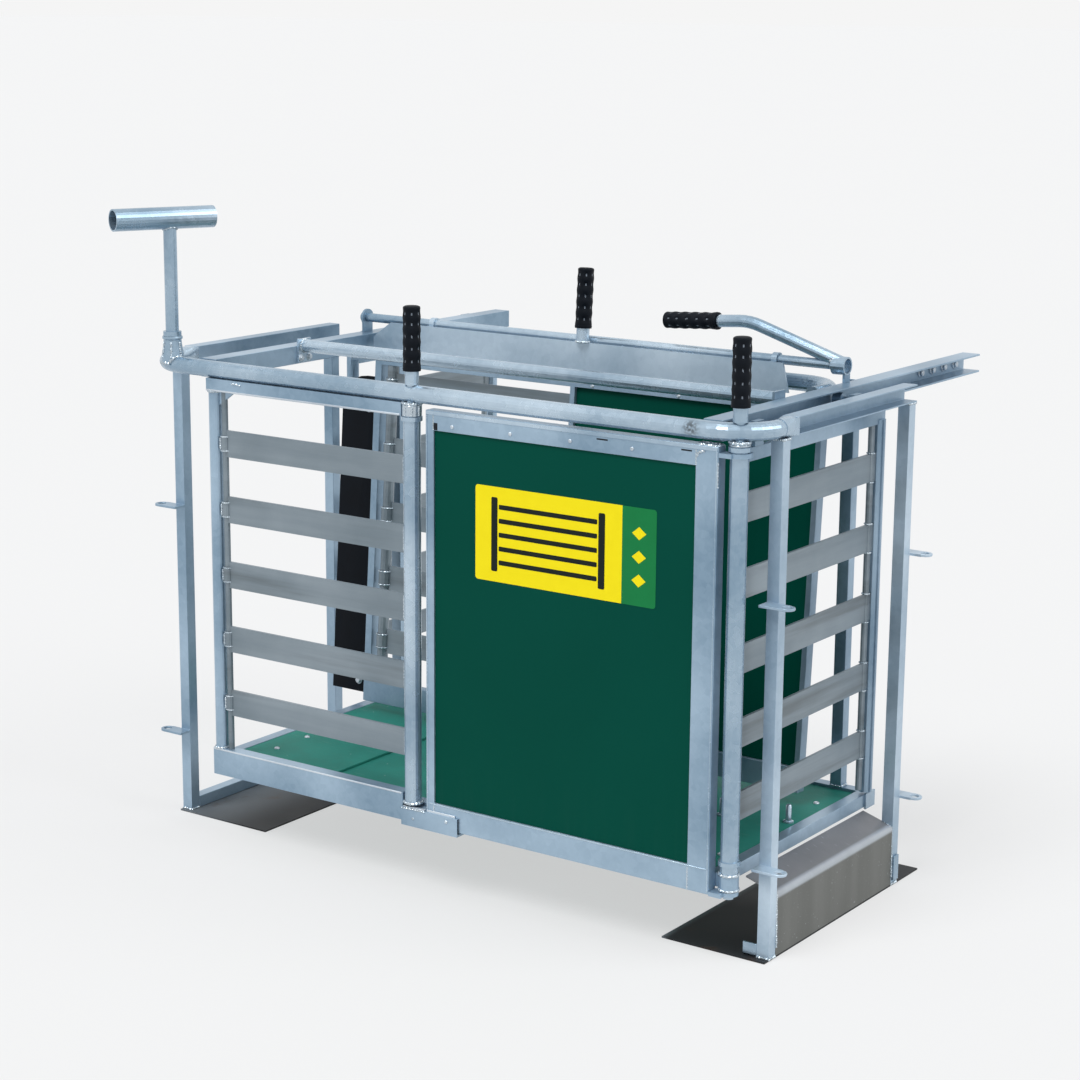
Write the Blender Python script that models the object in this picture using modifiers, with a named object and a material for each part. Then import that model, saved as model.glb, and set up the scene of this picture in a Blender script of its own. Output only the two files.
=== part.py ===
"""Weighing and sorting crate for sheep: tube frame, sliding end gates, side door, leaning inner wall."""

import math

import bmesh
import bpy
from mathutils import Matrix, Vector

# Overall stand, metres, +Z up, origin on the ground midway between the two portals
CLEAR = 0.0003
PORTAL_X = 0.715
PORTAL_Y = 0.2425
POST = 0.025
POST_WALL = 0.0025
BEAM_WIDTH = 0.030
BEAM_HEIGHT = 0.034
BEAM_WALL = 0.003
BEAM_FRONT_Y = -0.215
FRAME_TOP = 1.006
PLATE_THICK = 0.003

# Round tubes
TUBE_R = 0.01685
ROD_R = 0.010
SLEEVE_R = 0.01345
TOP_TUBE_Z = 0.988
FRONT_Y = -0.335
BEND_R = 0.090
REAR_TUBE_Y = 0.240
REAR_TUBE_END_Y = 0.110
CROSS_TUBE_Y = -0.046
CROSS_TUBE_Z = 1.003
CROSS_TUBE_R = 0.0135

# Gate rails
RAIL_IN_X = -0.550
RAIL_OUT_X = 0.600
RAIL_WIDTH = 0.040
RAIL_LOW = 0.966
RAIL_TOP = 1.004
RAIL_WALL = 0.004
RAIL_FRONT_Y = -0.3165
RAIL_IN_END_Y = 0.695
RAIL_OUT_END_Y = 0.722

# Floor
FLOOR_LOW = 0.150
FLOOR_TOP = 0.176
FLOOR_BAR = 0.025
FLOOR_X = (-0.560, 0.660)
FLOOR_BACK_Y = 0.2735
BOARD_LOW = 0.160
BOARD_THICK = 0.010
BOARD_JOINT_X = -0.345

# Front side: slatted part, middle post, door, corner post
SIDE_DEPTH = 0.025
MID_POST_X = -0.033
CORNER_X = 0.6765
CORNER_Y = -0.3185
POST_RING_R = 0.0205
MID_RINGS = (0.9405,)
CORNER_RINGS = (0.958, 0.200)
SIDE_TUBE_X = -0.535
SIDE_TUBE_R = 0.0135
SIDE_ROD_X = -0.510
SIDE_RAIL = (0.140, 0.197)
SIDE_HEAD_LOW = 0.945
SLAT_HEIGHT = 0.0545
SLAT_THICK = 0.006
SLAT_ROD_R = 0.0065
SIDE_SLAT_TOP_Z = 0.8395
SIDE_SLAT_PITCH = 0.1355
DOOR_X = (0.009, 0.651)
DOOR_Z = (0.141, 0.963)
DOOR_LEFT = 0.019
DOOR_RIGHT = 0.046
DOOR_HEAD = 0.038
DOOR_SILL = 0.049
PANEL_THICK = 0.008
BRACKET_RIGHT_X = 0.087
BRACKET_Z = (0.133, 0.170)
LUG_THICK = 0.008
LUG_LOW_Z = 0.139
LUG_TOP_Z = 0.944

# Sliding gates
GATE_LENGTH = 0.520
GATE_IN_X = -0.634
GATE_OUT_X = 0.6565
GATE_IN_LEAD_Y = 0.220
GATE_OUT_LEAD_Y = -0.2765
GATE_TUBE_R = 0.0135
GATE_Z = (0.182, 0.925)
GATE_BAR_HEIGHT = 0.024
GATE_BAR_THICK = 0.012
GATE_SLAT_TOP_Z = 0.842
GATE_SLAT_PITCH = 0.139
HANGER_WIDTH = 0.030
HANGER_OFFSETS = (0.050, 0.420)
ROLLER_R = 0.012

# Turning shaft with its lever, and the inner wall that hangs from it
SHAFT_Y = 0.203
SHAFT_Z = 1.0355
SHAFT_R = 0.0095
SHAFT_X = (-0.590, 0.596)
BEARING_IN_X = -0.578
BEARING_IN_R = 0.0185
BEARING_OUT_X = 0.6035
BEARING_OUT_R = 0.013
BEARING_THICK = 0.0055
LEVER_SLEEVE_X = (0.577, 0.606)
LEVER_SLEEVE_R = 0.018
LEVER_SLEEVE_BORE_R = 0.0145
LEVER_R = 0.0125
LEVER_BEND = (0.387, 1.105)
LEVER_GRIP_START = (0.318, 1.0995)
LEVER_GRIP_END = (0.182, 1.091)
WALL_LEAN_DEG = 4.0
WALL_BACK = 0.020
WALL_X = (-0.525, 0.5765)
WALL_Z = (0.191, 0.951)
WALL_BAR = 0.012
WALL_LEFT_BAR = 0.018
WALL_SILL = 0.050
WALL_MID_X = -0.006
WALL_PLATE_X = (-0.540, 0.492)
WALL_PLATE_Z = (0.974, 1.031)
WALL_PLATE_THICK = 0.005
WALL_ROD_X = -0.484
WALL_ROD_R = 0.012
WALL_SLAT_TOP_Z = 0.895
WALL_SLAT_PITCH = 0.141
WALL_EYE_X = (-0.392, 0.450)
WALL_STRAP_X = (-0.300, 0.060, 0.420)
FLAP_OUTER_X = -0.620
FLAP_Z = (0.206, 0.910)
FLAP_CORNER_R = 0.065
HANDLE_X = 0.008

# Grips and the indicator holder
GRIP_R = 0.0172
GRIP_LENGTH = 0.123
GRIP_END = 0.010
ROD_COLLAR = 0.026
HANDLE_NECK = 0.029
HOLDER_X = -0.653
HOLDER_Y = -0.3306
SOCKET_R = 0.022
SOCKET_TOP = 1.045
SOCKET_FLOOR = 1.010
MAST_COLLAR_R = 0.0185
MAST_COLLAR_TOP = 1.055
BAR_Z = 1.283
BAR_R = 0.0225
BAR_BORE_R = 0.0195
BAR_REACH = (-0.1215, 0.0945)
BAR_TURN_DEG = 67.0

# Ground level pieces
GROUND_IN = ((-0.7275, -0.485), (-0.264, 0.264))
GROUND_OUT = ((0.506, 0.7275), (-0.270, 0.349))
STEP_EDGE = (0.661, 0.145)
STEP_FOLD_Z = 0.125
SILL_HEIGHT = 0.028
EYELET_Z = (0.178, 0.671)
EYELET_REACH = 0.040
EYELET_WIDTH = 0.030
EYELET_THICK = 0.005
EYELET_HOLE_R = 0.009

STEEL = ("galvanised", (0.56, 0.61, 0.66), 0.85, 0.38)
ALUMINIUM = ("aluminium", (0.60, 0.62, 0.64), 0.80, 0.48)
DARK_STEEL = ("plate_steel", (0.34, 0.35, 0.36), 0.80, 0.50)
GREEN = ("green", (0.004, 0.075, 0.048), 0.0, 0.35)
FLOOR_GREEN = ("floor_green", (0.030, 0.210, 0.150), 0.0, 0.60)
RUBBER = ("rubber", (0.012, 0.013, 0.016), 0.0, 0.70)


for old in list(bpy.data.objects):
    bpy.data.objects.remove(old)

parts = bpy.data.collections.new("weighing_crate")
cutters = bpy.data.collections.new("cutters")
bpy.context.scene.collection.children.link(parts)
bpy.context.scene.collection.children.link(cutters)


def material(look):
    name, colour, metallic, roughness = look
    found = bpy.data.materials.get(name)
    if found:
        return found
    made = bpy.data.materials.new(name)
    made.use_nodes = True
    shader = made.node_tree.nodes["Principled BSDF"]
    shader.inputs["Base Color"].default_value = (*colour, 1.0)
    shader.inputs["Metallic"].default_value = metallic
    shader.inputs["Roughness"].default_value = roughness
    return made


# Solids that make up one node


def box(bm, x, y, z):
    size = (x[1] - x[0], y[1] - y[0], z[1] - z[0])
    centre = ((x[0] + x[1]) / 2, (y[0] + y[1]) / 2, (z[0] + z[1]) / 2)
    bmesh.ops.create_cube(bm, size=1.0, matrix=Matrix.Translation(centre) @ Matrix.Diagonal((*size, 1.0)))


def cylinder(bm, start, end, radius, sides=20):
    start = Vector(start)
    end = Vector(end)
    along = end - start
    turn = along.to_track_quat("Z", "Y").to_matrix().to_4x4()
    place = Matrix.Translation((start + end) / 2) @ turn
    bmesh.ops.create_cone(
        bm, cap_ends=True, segments=sides, radius1=radius, radius2=radius, depth=along.length, matrix=place
    )


def prism(bm, outline, low, high, axis):
    order = {"X": lambda a, b, c: (c, a, b), "Y": lambda a, b, c: (a, c, b), "Z": lambda a, b, c: (a, b, c)}
    place = order[axis]
    near = [bm.verts.new(place(a, b, low)) for a, b in outline]
    far = [bm.verts.new(place(a, b, high)) for a, b in outline]
    bm.faces.new(near)
    bm.faces.new(far)
    for i in range(len(outline)):
        j = (i + 1) % len(outline)
        bm.faces.new((near[i], near[j], far[j], far[i]))


def link(obj, look, pivot, collection):
    obj.data.materials.append(material(look))
    collection.objects.link(obj)
    if pivot:
        obj.parent = pivot
        obj.matrix_parent_inverse = Matrix.Translation(-pivot.location)
    return obj


def solid(name, bm, look, pivot=None, collection=parts):
    bmesh.ops.recalc_face_normals(bm, faces=bm.faces)
    mesh = bpy.data.meshes.new(name)
    bm.to_mesh(mesh)
    bm.free()
    mesh.shade_smooth()
    mesh.set_sharp_from_angle(angle=math.radians(35))
    return link(bpy.data.objects.new(name, mesh), look, pivot, collection)


def turned(name, profile, look, pivot=None, closed=False, sides=20):
    """Screw a profile of (radius, height) points round Z, listed down its outer side."""
    points = [(radius, 0.0, height) for radius, height in profile]
    edges = [(i, i + 1) for i in range(len(points) - 1)]
    if closed:
        edges.append((len(points) - 1, 0))
    mesh = bpy.data.meshes.new(name)
    mesh.from_pydata(points, edges, [])
    obj = link(bpy.data.objects.new(name, mesh), look, pivot, parts)
    screw = obj.modifiers.new("Turned", "SCREW")
    screw.axis = "Z"
    screw.steps = sides
    screw.render_steps = sides
    screw.use_merge_vertices = True
    screw.merge_threshold = 0.00001
    screw.use_smooth_shade = True
    return obj


def swept(name, points, radius):
    """A round bar along a line of points, as a closed mesh."""
    curve = bpy.data.curves.new(name, "CURVE")
    curve.dimensions = "3D"
    curve.bevel_depth = radius
    curve.bevel_resolution = 8
    curve.use_fill_caps = True
    line = curve.splines.new("POLY")
    line.points.add(len(points) - 1)
    for point, place in zip(line.points, points):
        point.co = (*place, 1.0)
    draft = bpy.data.objects.new(name + "_line", curve)
    bpy.context.scene.collection.objects.link(draft)
    graph = bpy.context.evaluated_depsgraph_get()
    mesh = bpy.data.meshes.new_from_object(draft.evaluated_get(graph))
    bpy.data.objects.remove(draft)
    bm = bmesh.new()
    bm.from_mesh(mesh)
    bmesh.ops.remove_doubles(bm, verts=bm.verts, dist=0.00001)
    bpy.data.meshes.remove(mesh)
    return bm


def arc(centre, radius, start_deg, end_deg, steps):
    turns = [math.radians(start_deg + (end_deg - start_deg) * i / steps) for i in range(steps + 1)]
    return [(centre[0] + radius * math.cos(t), centre[1] + radius * math.sin(t)) for t in turns]


def combine(obj, bm, operation, pivot=None):
    tool = solid(obj.name + "_" + operation.lower(), bm, STEEL, pivot, cutters)
    tool.hide_render = True
    tool.display_type = "WIRE"
    step = obj.modifiers.new(operation.title(), "BOOLEAN")
    step.operation = operation
    step.solver = "EXACT"
    step.object = tool


def pivot_at(name, location):
    empty = bpy.data.objects.new(name, None)
    empty.empty_display_size = 0.05
    empty.location = location
    parts.objects.link(empty)
    return empty


# Portals: four square posts, three of them with eyelets for hurdles, and the two beams


def portal_post(name, side, end, top, eyelets):
    bm = bmesh.new()
    x = side * PORTAL_X
    y = end * PORTAL_Y
    half = POST / 2
    inner = half - POST_WALL
    box(bm, (x - half, x + half), (y - half, y + half), (PLATE_THICK + CLEAR, top))
    post = solid(name, bm, STEEL)
    if eyelets:
        bm = bmesh.new()
        root_y = y + end * (inner + POST_WALL / 2)
        tip_y = y + end * (half + EYELET_WIDTH)
        mid_y = y + end * (half + EYELET_WIDTH / 2)
        round_x = x + side * (half + EYELET_REACH - EYELET_WIDTH / 2)
        rounded = arc((0.0, 0.0), EYELET_WIDTH / 2, -90, 90, 6)
        outline = [(x - side * half, root_y), (round_x, root_y)]
        outline += [(round_x + side * along, mid_y + end * across) for along, across in rounded]
        outline += [(round_x, tip_y), (x - side * half, tip_y)]
        for z in EYELET_Z:
            prism(bm, outline, z, z + EYELET_THICK, "Z")
        combine(post, bm, "UNION")
        bm = bmesh.new()
        for z in EYELET_Z:
            cylinder(bm, (round_x, mid_y, z - 0.01), (round_x, mid_y, z + 0.02), EYELET_HOLE_R, 16)
        combine(post, bm, "DIFFERENCE")
    bm = bmesh.new()
    box(bm, (x - inner, x + inner), (y - inner, y + inner), (-0.05, FRAME_TOP + 0.05))
    combine(post, bm, "DIFFERENCE")


portal_post("post_in_front", -1, -1, TOP_TUBE_Z - TUBE_R - CLEAR, True)
portal_post("post_in_rear", -1, 1, FRAME_TOP - BEAM_HEIGHT - CLEAR, False)
portal_post("post_out_front", 1, -1, TOP_TUBE_Z - TUBE_R - CLEAR, True)
portal_post("post_out_rear", 1, 1, FRAME_TOP - BEAM_HEIGHT - CLEAR, True)



def channel(name, inner_x, side, width, wall, z, y):
    """C section along Y, its web on the inner side and its flanges pointing outwards."""
    outer_x = inner_x + side * width
    web_x = inner_x + side * wall
    outline = [(inner_x, z[0]), (outer_x, z[0]), (outer_x, z[0] + wall), (web_x, z[0] + wall)]
    outline += [(web_x, z[1] - wall), (outer_x, z[1] - wall), (outer_x, z[1]), (inner_x, z[1])]
    bm = bmesh.new()
    prism(bm, outline, y[0], y[1], "Y")
    return solid(name, bm, STEEL)


for name, side in (("beam_in", -1), ("beam_out", 1)):
    inner_x = side * (PORTAL_X - BEAM_WIDTH / 2)
    beam_z = (FRAME_TOP - BEAM_HEIGHT, FRAME_TOP)
    channel(name, inner_x, side, BEAM_WIDTH, BEAM_WALL, beam_z, (BEAM_FRONT_Y, PORTAL_Y + POST / 2))

# Front top tube, bent back at both ends on to the beams, with holes for the drop rods
bend_x = PORTAL_X - BEND_R
bend_y = FRONT_Y + BEND_R
left_bend = arc((-bend_x, bend_y), BEND_R, 180, 270, 8)
right_bend = arc((bend_x, bend_y), BEND_R, 270, 360, 8)
front_line = [(-PORTAL_X, BEAM_FRONT_Y - CLEAR)] + left_bend + right_bend + [(PORTAL_X, BEAM_FRONT_Y - CLEAR)]
front_path = [(x, y, TOP_TUBE_Z) for x, y in front_line]
front_tube = solid("front_tube", swept("front_tube", front_path, TUBE_R), STEEL)
bm = bmesh.new()
for x, y in ((MID_POST_X, FRONT_Y), (CORNER_X, CORNER_Y)):
    cylinder(bm, (x, y, TOP_TUBE_Z - 0.03), (x, y, TOP_TUBE_Z + 0.03), ROD_R + CLEAR)
combine(front_tube, bm, "DIFFERENCE")

# Rear top tube, bent forward at its right end to run beside the exit rail
bend_x = RAIL_OUT_X - CLEAR - TUBE_R - BEND_R
rear_bend = arc((bend_x, REAR_TUBE_Y - BEND_R), BEND_R, 90, 0, 8)
rear_line = [(RAIL_IN_X + CLEAR, REAR_TUBE_Y)] + rear_bend + [(bend_x + BEND_R, REAR_TUBE_END_Y)]
solid("rear_tube", swept("rear_tube", [(x, y, TOP_TUBE_Z) for x, y in rear_line], TUBE_R), STEEL)

# Gate rails
for name, inner_x, side, end_y in (
    ("rail_in", RAIL_IN_X, -1, RAIL_IN_END_Y),
    ("rail_out", RAIL_OUT_X, 1, RAIL_OUT_END_Y),
):
    channel(name, inner_x, side, RAIL_WIDTH, RAIL_WALL, (RAIL_LOW, RAIL_TOP), (RAIL_FRONT_Y, end_y))

# Cross tube with a flat lug at each end
bm = bmesh.new()
left = RAIL_IN_X + CLEAR
right = RAIL_OUT_X - CLEAR
cylinder(bm, (left + 0.002, CROSS_TUBE_Y, CROSS_TUBE_Z), (right - 0.002, CROSS_TUBE_Y, CROSS_TUBE_Z), CROSS_TUBE_R)
cross_tube = solid("cross_tube", bm, STEEL)
bm = bmesh.new()
for x in ((left, left + 0.005), (right - 0.005, right)):
    box(bm, x, (CROSS_TUBE_Y - 0.020, CROSS_TUBE_Y + 0.020), (RAIL_LOW + 0.002, CROSS_TUBE_Z + 0.0155))
combine(cross_tube, bm, "UNION")


# Round posts of the front side, bored for the drop rods


def round_post(name, x, y, foot, rings):
    top = TOP_TUBE_Z - TUBE_R - CLEAR
    bore = ROD_R + CLEAR
    profile = [(bore, top), (TUBE_R, top)]
    for z in rings:
        profile += [(TUBE_R, z + 0.004), (POST_RING_R, z + 0.004), (POST_RING_R, z - 0.004), (TUBE_R, z - 0.004)]
    profile += [(TUBE_R, foot), (bore, foot)]
    post = turned(name, profile, STEEL, closed=True)
    post.location = (x, y, 0.0)


round_post("post_mid", MID_POST_X, FRONT_Y, FLOOR_TOP + CLEAR, MID_RINGS)
round_post("post_corner", CORNER_X, CORNER_Y, FLOOR_TOP + CLEAR, CORNER_RINGS)

# Square posts at the rear
for name, x, top in (
    ("post_rear_in", RAIL_IN_X + CLEAR, TOP_TUBE_Z - TUBE_R - CLEAR),
    ("post_rear_out", RAIL_OUT_X - CLEAR - POST, RAIL_TOP - 0.004),
):
    bm = bmesh.new()
    y = (FLOOR_BACK_Y - 0.001 - POST, FLOOR_BACK_Y - 0.001)
    box(bm, (x, x + POST), y, (FLOOR_TOP + CLEAR, top))
    post = solid(name, bm, STEEL)
    bm = bmesh.new()
    inner_x = (x + POST_WALL, x + POST - POST_WALL)
    box(bm, inner_x, (y[0] + POST_WALL, y[1] - POST_WALL), (0.0, FRAME_TOP + 0.05))
    combine(post, bm, "DIFFERENCE")

# Floor frame with a round ear under the corner post, and its two boards
floor_front = FRONT_Y + SIDE_DEPTH / 2 + CLEAR
bm = bmesh.new()
box(bm, FLOOR_X, (floor_front, FLOOR_BACK_Y), (FLOOR_LOW, FLOOR_TOP))
floor_frame = solid("floor_frame", bm, STEEL)
bm = bmesh.new()
cylinder(bm, (CORNER_X, CORNER_Y, FLOOR_LOW), (CORNER_X, CORNER_Y, FLOOR_TOP), 0.0185)
combine(floor_frame, bm, "UNION")
bm = bmesh.new()
inner_x = (FLOOR_X[0] + FLOOR_BAR, FLOOR_X[1] - FLOOR_BAR)
inner_y = (floor_front + FLOOR_BAR, FLOOR_BACK_Y - FLOOR_BAR)
bays = ((inner_x[0], BOARD_JOINT_X - 0.010), (BOARD_JOINT_X + 0.010, 0.135), (0.155, inner_x[1]))
for bay in bays:
    box(bm, bay, inner_y, (FLOOR_LOW - 0.02, FLOOR_TOP + 0.02))
cylinder(bm, (CORNER_X, CORNER_Y, FLOOR_LOW - 0.02), (CORNER_X, CORNER_Y, FLOOR_TOP + 0.02), ROD_R + CLEAR)
combine(floor_frame, bm, "DIFFERENCE")
bm = bmesh.new()
box(bm, inner_x, inner_y, (BOARD_LOW - CLEAR, FLOOR_TOP + 0.03))
combine(floor_frame, bm, "DIFFERENCE")

for name, x in (
    ("floor_board_in", (inner_x[0] + CLEAR, BOARD_JOINT_X - CLEAR)),
    ("floor_board_out", (BOARD_JOINT_X + CLEAR, inner_x[1] - CLEAR)),
):
    bm = bmesh.new()
    box(bm, x, (inner_y[0] + CLEAR, inner_y[1] - CLEAR), (BOARD_LOW, BOARD_LOW + BOARD_THICK))
    solid(name, bm, FLOOR_GREEN)

# Ground plates, entrance sill and exit step
for name, (x, y) in (("ground_plate_in", GROUND_IN), ("ground_plate_out", GROUND_OUT)):
    bm = bmesh.new()
    box(bm, x, y, (0.0, PLATE_THICK))
    solid(name, bm, DARK_STEEL)

between = (-PORTAL_Y + POST / 2 + CLEAR, PORTAL_Y - POST / 2 - CLEAR)
ground = PLATE_THICK + CLEAR
bm = bmesh.new()
box(bm, (-PORTAL_X - POST / 2, -PORTAL_X + POST / 2), between, (ground, SILL_HEIGHT))
solid("entrance_sill", bm, STEEL)

bm = bmesh.new()
face_x = PORTAL_X + POST / 2
edge_x, edge_z = STEP_EDGE
outline = [
    (face_x, ground),
    (face_x, STEP_FOLD_Z),
    (edge_x, edge_z),
    (edge_x, edge_z - PLATE_THICK),
    (face_x - PLATE_THICK, STEP_FOLD_Z - PLATE_THICK),
    (face_x - PLATE_THICK, ground),
]
prism(bm, outline, between[0], between[1], "Y")
solid("exit_step", bm, DARK_STEEL)

# Front slatted side
side_y = (FRONT_Y - SIDE_DEPTH / 2, FRONT_Y + SIDE_DEPTH / 2)
mid_left = MID_POST_X - TUBE_R - CLEAR
head_top = TOP_TUBE_Z - TUBE_R - CLEAR
bm = bmesh.new()
cylinder(bm, (SIDE_TUBE_X, FRONT_Y, SIDE_RAIL[1] - 0.012), (SIDE_TUBE_X, FRONT_Y, head_top - 0.005), SIDE_TUBE_R)
side_frame = solid("side_frame", bm, STEEL)
bm = bmesh.new()
box(bm, (SIDE_TUBE_X - 0.0135, mid_left), side_y, (SIDE_HEAD_LOW, head_top))
box(bm, (SIDE_TUBE_X - 0.014, mid_left), side_y, SIDE_RAIL)
combine(side_frame, bm, "UNION")


def slat_heights(top_z, pitch):
    return [top_z - pitch * i for i in range(5)]


def slat_rod(name, x, y, z, radius, heights, pivot=None):
    """Upright rod with a barrel at every slat."""
    profile = [(0.0, z[1]), (radius, z[1])]
    wide = radius + 0.003
    for height in heights:
        for r, step in ((radius, 0.014), (wide, 0.014), (wide, -0.014), (radius, -0.014)):
            profile.append((r, height + step))
    profile += [(radius, z[0]), (0.0, z[0])]
    rod = turned(name, profile, ALUMINIUM, pivot, sides=12)
    rod.location = (x, y, 0.0)
    return rod


def slats(obj, heights, x, y, pivot=None):
    bm = bmesh.new()
    for height in heights:
        box(bm, x, y, (height - SLAT_HEIGHT / 2, height + SLAT_HEIGHT / 2))
    combine(obj, bm, "UNION", pivot)


heights = slat_heights(SIDE_SLAT_TOP_Z, SIDE_SLAT_PITCH)
rod_z = (SIDE_RAIL[1] + CLEAR, SIDE_HEAD_LOW - CLEAR)
side_slats = slat_rod("side_slats", SIDE_ROD_X, FRONT_Y, rod_z, SLAT_ROD_R, heights)
slats(side_slats, heights, (SIDE_ROD_X, mid_left), (FRONT_Y - SLAT_THICK / 2, FRONT_Y + SLAT_THICK / 2))

# Side door on the corner post
door = pivot_at("door_axis", (CORNER_X, CORNER_Y, 0.0))
bm = bmesh.new()
box(bm, DOOR_X, side_y, DOOR_Z)
door_frame = solid("door_frame", bm, STEEL, door)
opening_x = (DOOR_X[0] + DOOR_LEFT, DOOR_X[1] - DOOR_RIGHT)
opening_z = (DOOR_Z[0] + DOOR_SILL, DOOR_Z[1] - DOOR_HEAD)
bm = bmesh.new()
box(bm, opening_x, (side_y[0] - 0.05, side_y[1] + 0.05), opening_z)
combine(door_frame, bm, "DIFFERENCE", door)

bm = bmesh.new()
panel_x = (opening_x[0] + CLEAR, opening_x[1] - CLEAR)
panel_z = (opening_z[0] + CLEAR, opening_z[1] - CLEAR)
box(bm, panel_x, (side_y[0] + 0.004, side_y[0] + 0.004 + PANEL_THICK), panel_z)
solid("door_panel", bm, GREEN, door)

bm = bmesh.new()
bracket_x = (mid_left + CLEAR, BRACKET_RIGHT_X)
front = (side_y[0] - CLEAR - 0.005, side_y[0] - CLEAR)
box(bm, bracket_x, front, BRACKET_Z)
bracket = solid("door_bracket", bm, STEEL, door)
bm = bmesh.new()
box(bm, bracket_x, (front[0], floor_front - 0.002), (BRACKET_Z[0], BRACKET_Z[0] + 0.004))
box(bm, (bracket_x[0], DOOR_X[0] - CLEAR), (front[0], floor_front - 0.002), (BRACKET_Z[1] - 0.004, BRACKET_Z[1]))
combine(bracket, bm, "UNION", door)
bm = bmesh.new()
cylinder(bm, (MID_POST_X, FRONT_Y, BRACKET_Z[1] - 0.015), (MID_POST_X, FRONT_Y, BRACKET_Z[1] + 0.02), ROD_R + 0.001)
combine(bracket, bm, "DIFFERENCE", door)

for name, z, outer, inner in (
    ("door_lug_low", LUG_LOW_Z, 0.0185, ROD_R + CLEAR),
    ("door_lug_top", LUG_TOP_Z, TUBE_R + 0.007, TUBE_R + CLEAR),
):
    bm = bmesh.new()
    cylinder(bm, (CORNER_X, CORNER_Y, z), (CORNER_X, CORNER_Y, z + LUG_THICK), outer)
    lug = solid(name, bm, STEEL, door)
    bm = bmesh.new()
    box(bm, (DOOR_X[1] + CLEAR, CORNER_X), side_y, (z, z + LUG_THICK))
    combine(lug, bm, "UNION", door)
    bm = bmesh.new()
    cylinder(bm, (CORNER_X, CORNER_Y, z - 0.02), (CORNER_X, CORNER_Y, z + 0.03), inner)
    combine(lug, bm, "DIFFERENCE", door)


# Sliding gates


def gate(name, x, lead_y, rail_x, side):
    slide = pivot_at(name + "_axis", (x, lead_y, FRAME_TOP))
    rear_y = lead_y + GATE_LENGTH
    bar = (GATE_Z[1], GATE_Z[1] + GATE_BAR_HEIGHT)
    bar_x = (x - GATE_BAR_THICK / 2, x + GATE_BAR_THICK / 2)
    bm = bmesh.new()
    box(bm, bar_x, (lead_y - GATE_TUBE_R, rear_y + GATE_TUBE_R), bar)
    frame = solid(name + "_frame", bm, STEEL, slide)
    bm = bmesh.new()
    for y in (lead_y, rear_y):
        cylinder(bm, (x, y, GATE_Z[0]), (x, y, GATE_Z[1] + 0.008), GATE_TUBE_R)
    combine(frame, bm, "UNION", slide)

    heights = slat_heights(GATE_SLAT_TOP_Z, GATE_SLAT_PITCH)
    rod_y = rear_y - GATE_TUBE_R - 0.016
    rod = slat_rod(name + "_slats", x, rod_y, (GATE_Z[0] + 0.01, GATE_Z[1] - CLEAR), SLAT_ROD_R, (), slide)
    reach = (lead_y + GATE_TUBE_R + CLEAR, rear_y - GATE_TUBE_R - CLEAR)
    slats(rod, heights, (x - SLAT_THICK / 2, x + SLAT_THICK / 2), reach, slide)

    roller_z = RAIL_LOW + RAIL_WALL + CLEAR + ROLLER_R
    inner = rail_x + side * (RAIL_WALL + 0.008)
    for label, offset in zip(("front", "rear"), HANGER_OFFSETS):
        y = lead_y + offset
        bm = bmesh.new()
        box(bm, bar_x, (y - HANGER_WIDTH / 2, y + HANGER_WIDTH / 2), (bar[1] + CLEAR, roller_z + 0.012))
        hanger = solid(name + "_hanger_" + label, bm, STEEL, slide)
        bm = bmesh.new()
        cylinder(bm, (inner + side * 0.004, y, roller_z), (x, y, roller_z), 0.005, 12)
        combine(hanger, bm, "UNION", slide)
        bm = bmesh.new()
        cylinder(bm, (inner, y, roller_z), (inner + side * 0.018, y, roller_z), ROLLER_R, 16)
        combine(hanger, bm, "UNION", slide)


gate("gate_in", GATE_IN_X, GATE_IN_LEAD_Y, RAIL_IN_X, -1)
gate("gate_out", GATE_OUT_X, GATE_OUT_LEAD_Y, RAIL_OUT_X, 1)


# Ribbed grips and the drop rods


def grip(name, pivot=None):
    """Grip whose bore starts at its own origin and points along +Z."""
    bore = ROD_R + CLEAR
    profile = [(0.0, GRIP_LENGTH), (GRIP_R - 0.003, GRIP_LENGTH), (GRIP_R, GRIP_LENGTH - 0.003)]
    for i in range(5):
        z = GRIP_LENGTH - 0.018 - 0.021 * i
        profile += [(GRIP_R, z + 0.004), (GRIP_R - 0.0016, z), (GRIP_R, z - 0.004)]
    profile += [(GRIP_R, 0.0), (bore, 0.0), (bore, GRIP_LENGTH - GRIP_END), (0.0, GRIP_LENGTH - GRIP_END)]
    return turned(name, profile, RUBBER, pivot, sides=14)


for label, x, y, tip in (
    ("mid", MID_POST_X, FRONT_Y, BRACKET_Z[1] + 0.0015),
    ("corner", CORNER_X, CORNER_Y, LUG_LOW_Z - 0.007),
):
    lift = pivot_at("rod_" + label + "_axis", (x, y, 0.0))
    seat = TOP_TUBE_Z + TUBE_R + CLEAR
    shoulder = seat + ROD_COLLAR
    core = shoulder + GRIP_LENGTH - GRIP_END - 0.001
    profile = [(0.0, core), (ROD_R, core), (ROD_R, shoulder), (SLEEVE_R, shoulder), (SLEEVE_R, seat)]
    profile += [(ROD_R, seat), (ROD_R, tip), (0.0, tip)]
    rod = turned("rod_" + label, profile, STEEL, lift)
    rod.location = (x, y, 0.0)
    cover = grip("grip_" + label, lift)
    cover.location = (x, y, shoulder + CLEAR)

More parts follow.
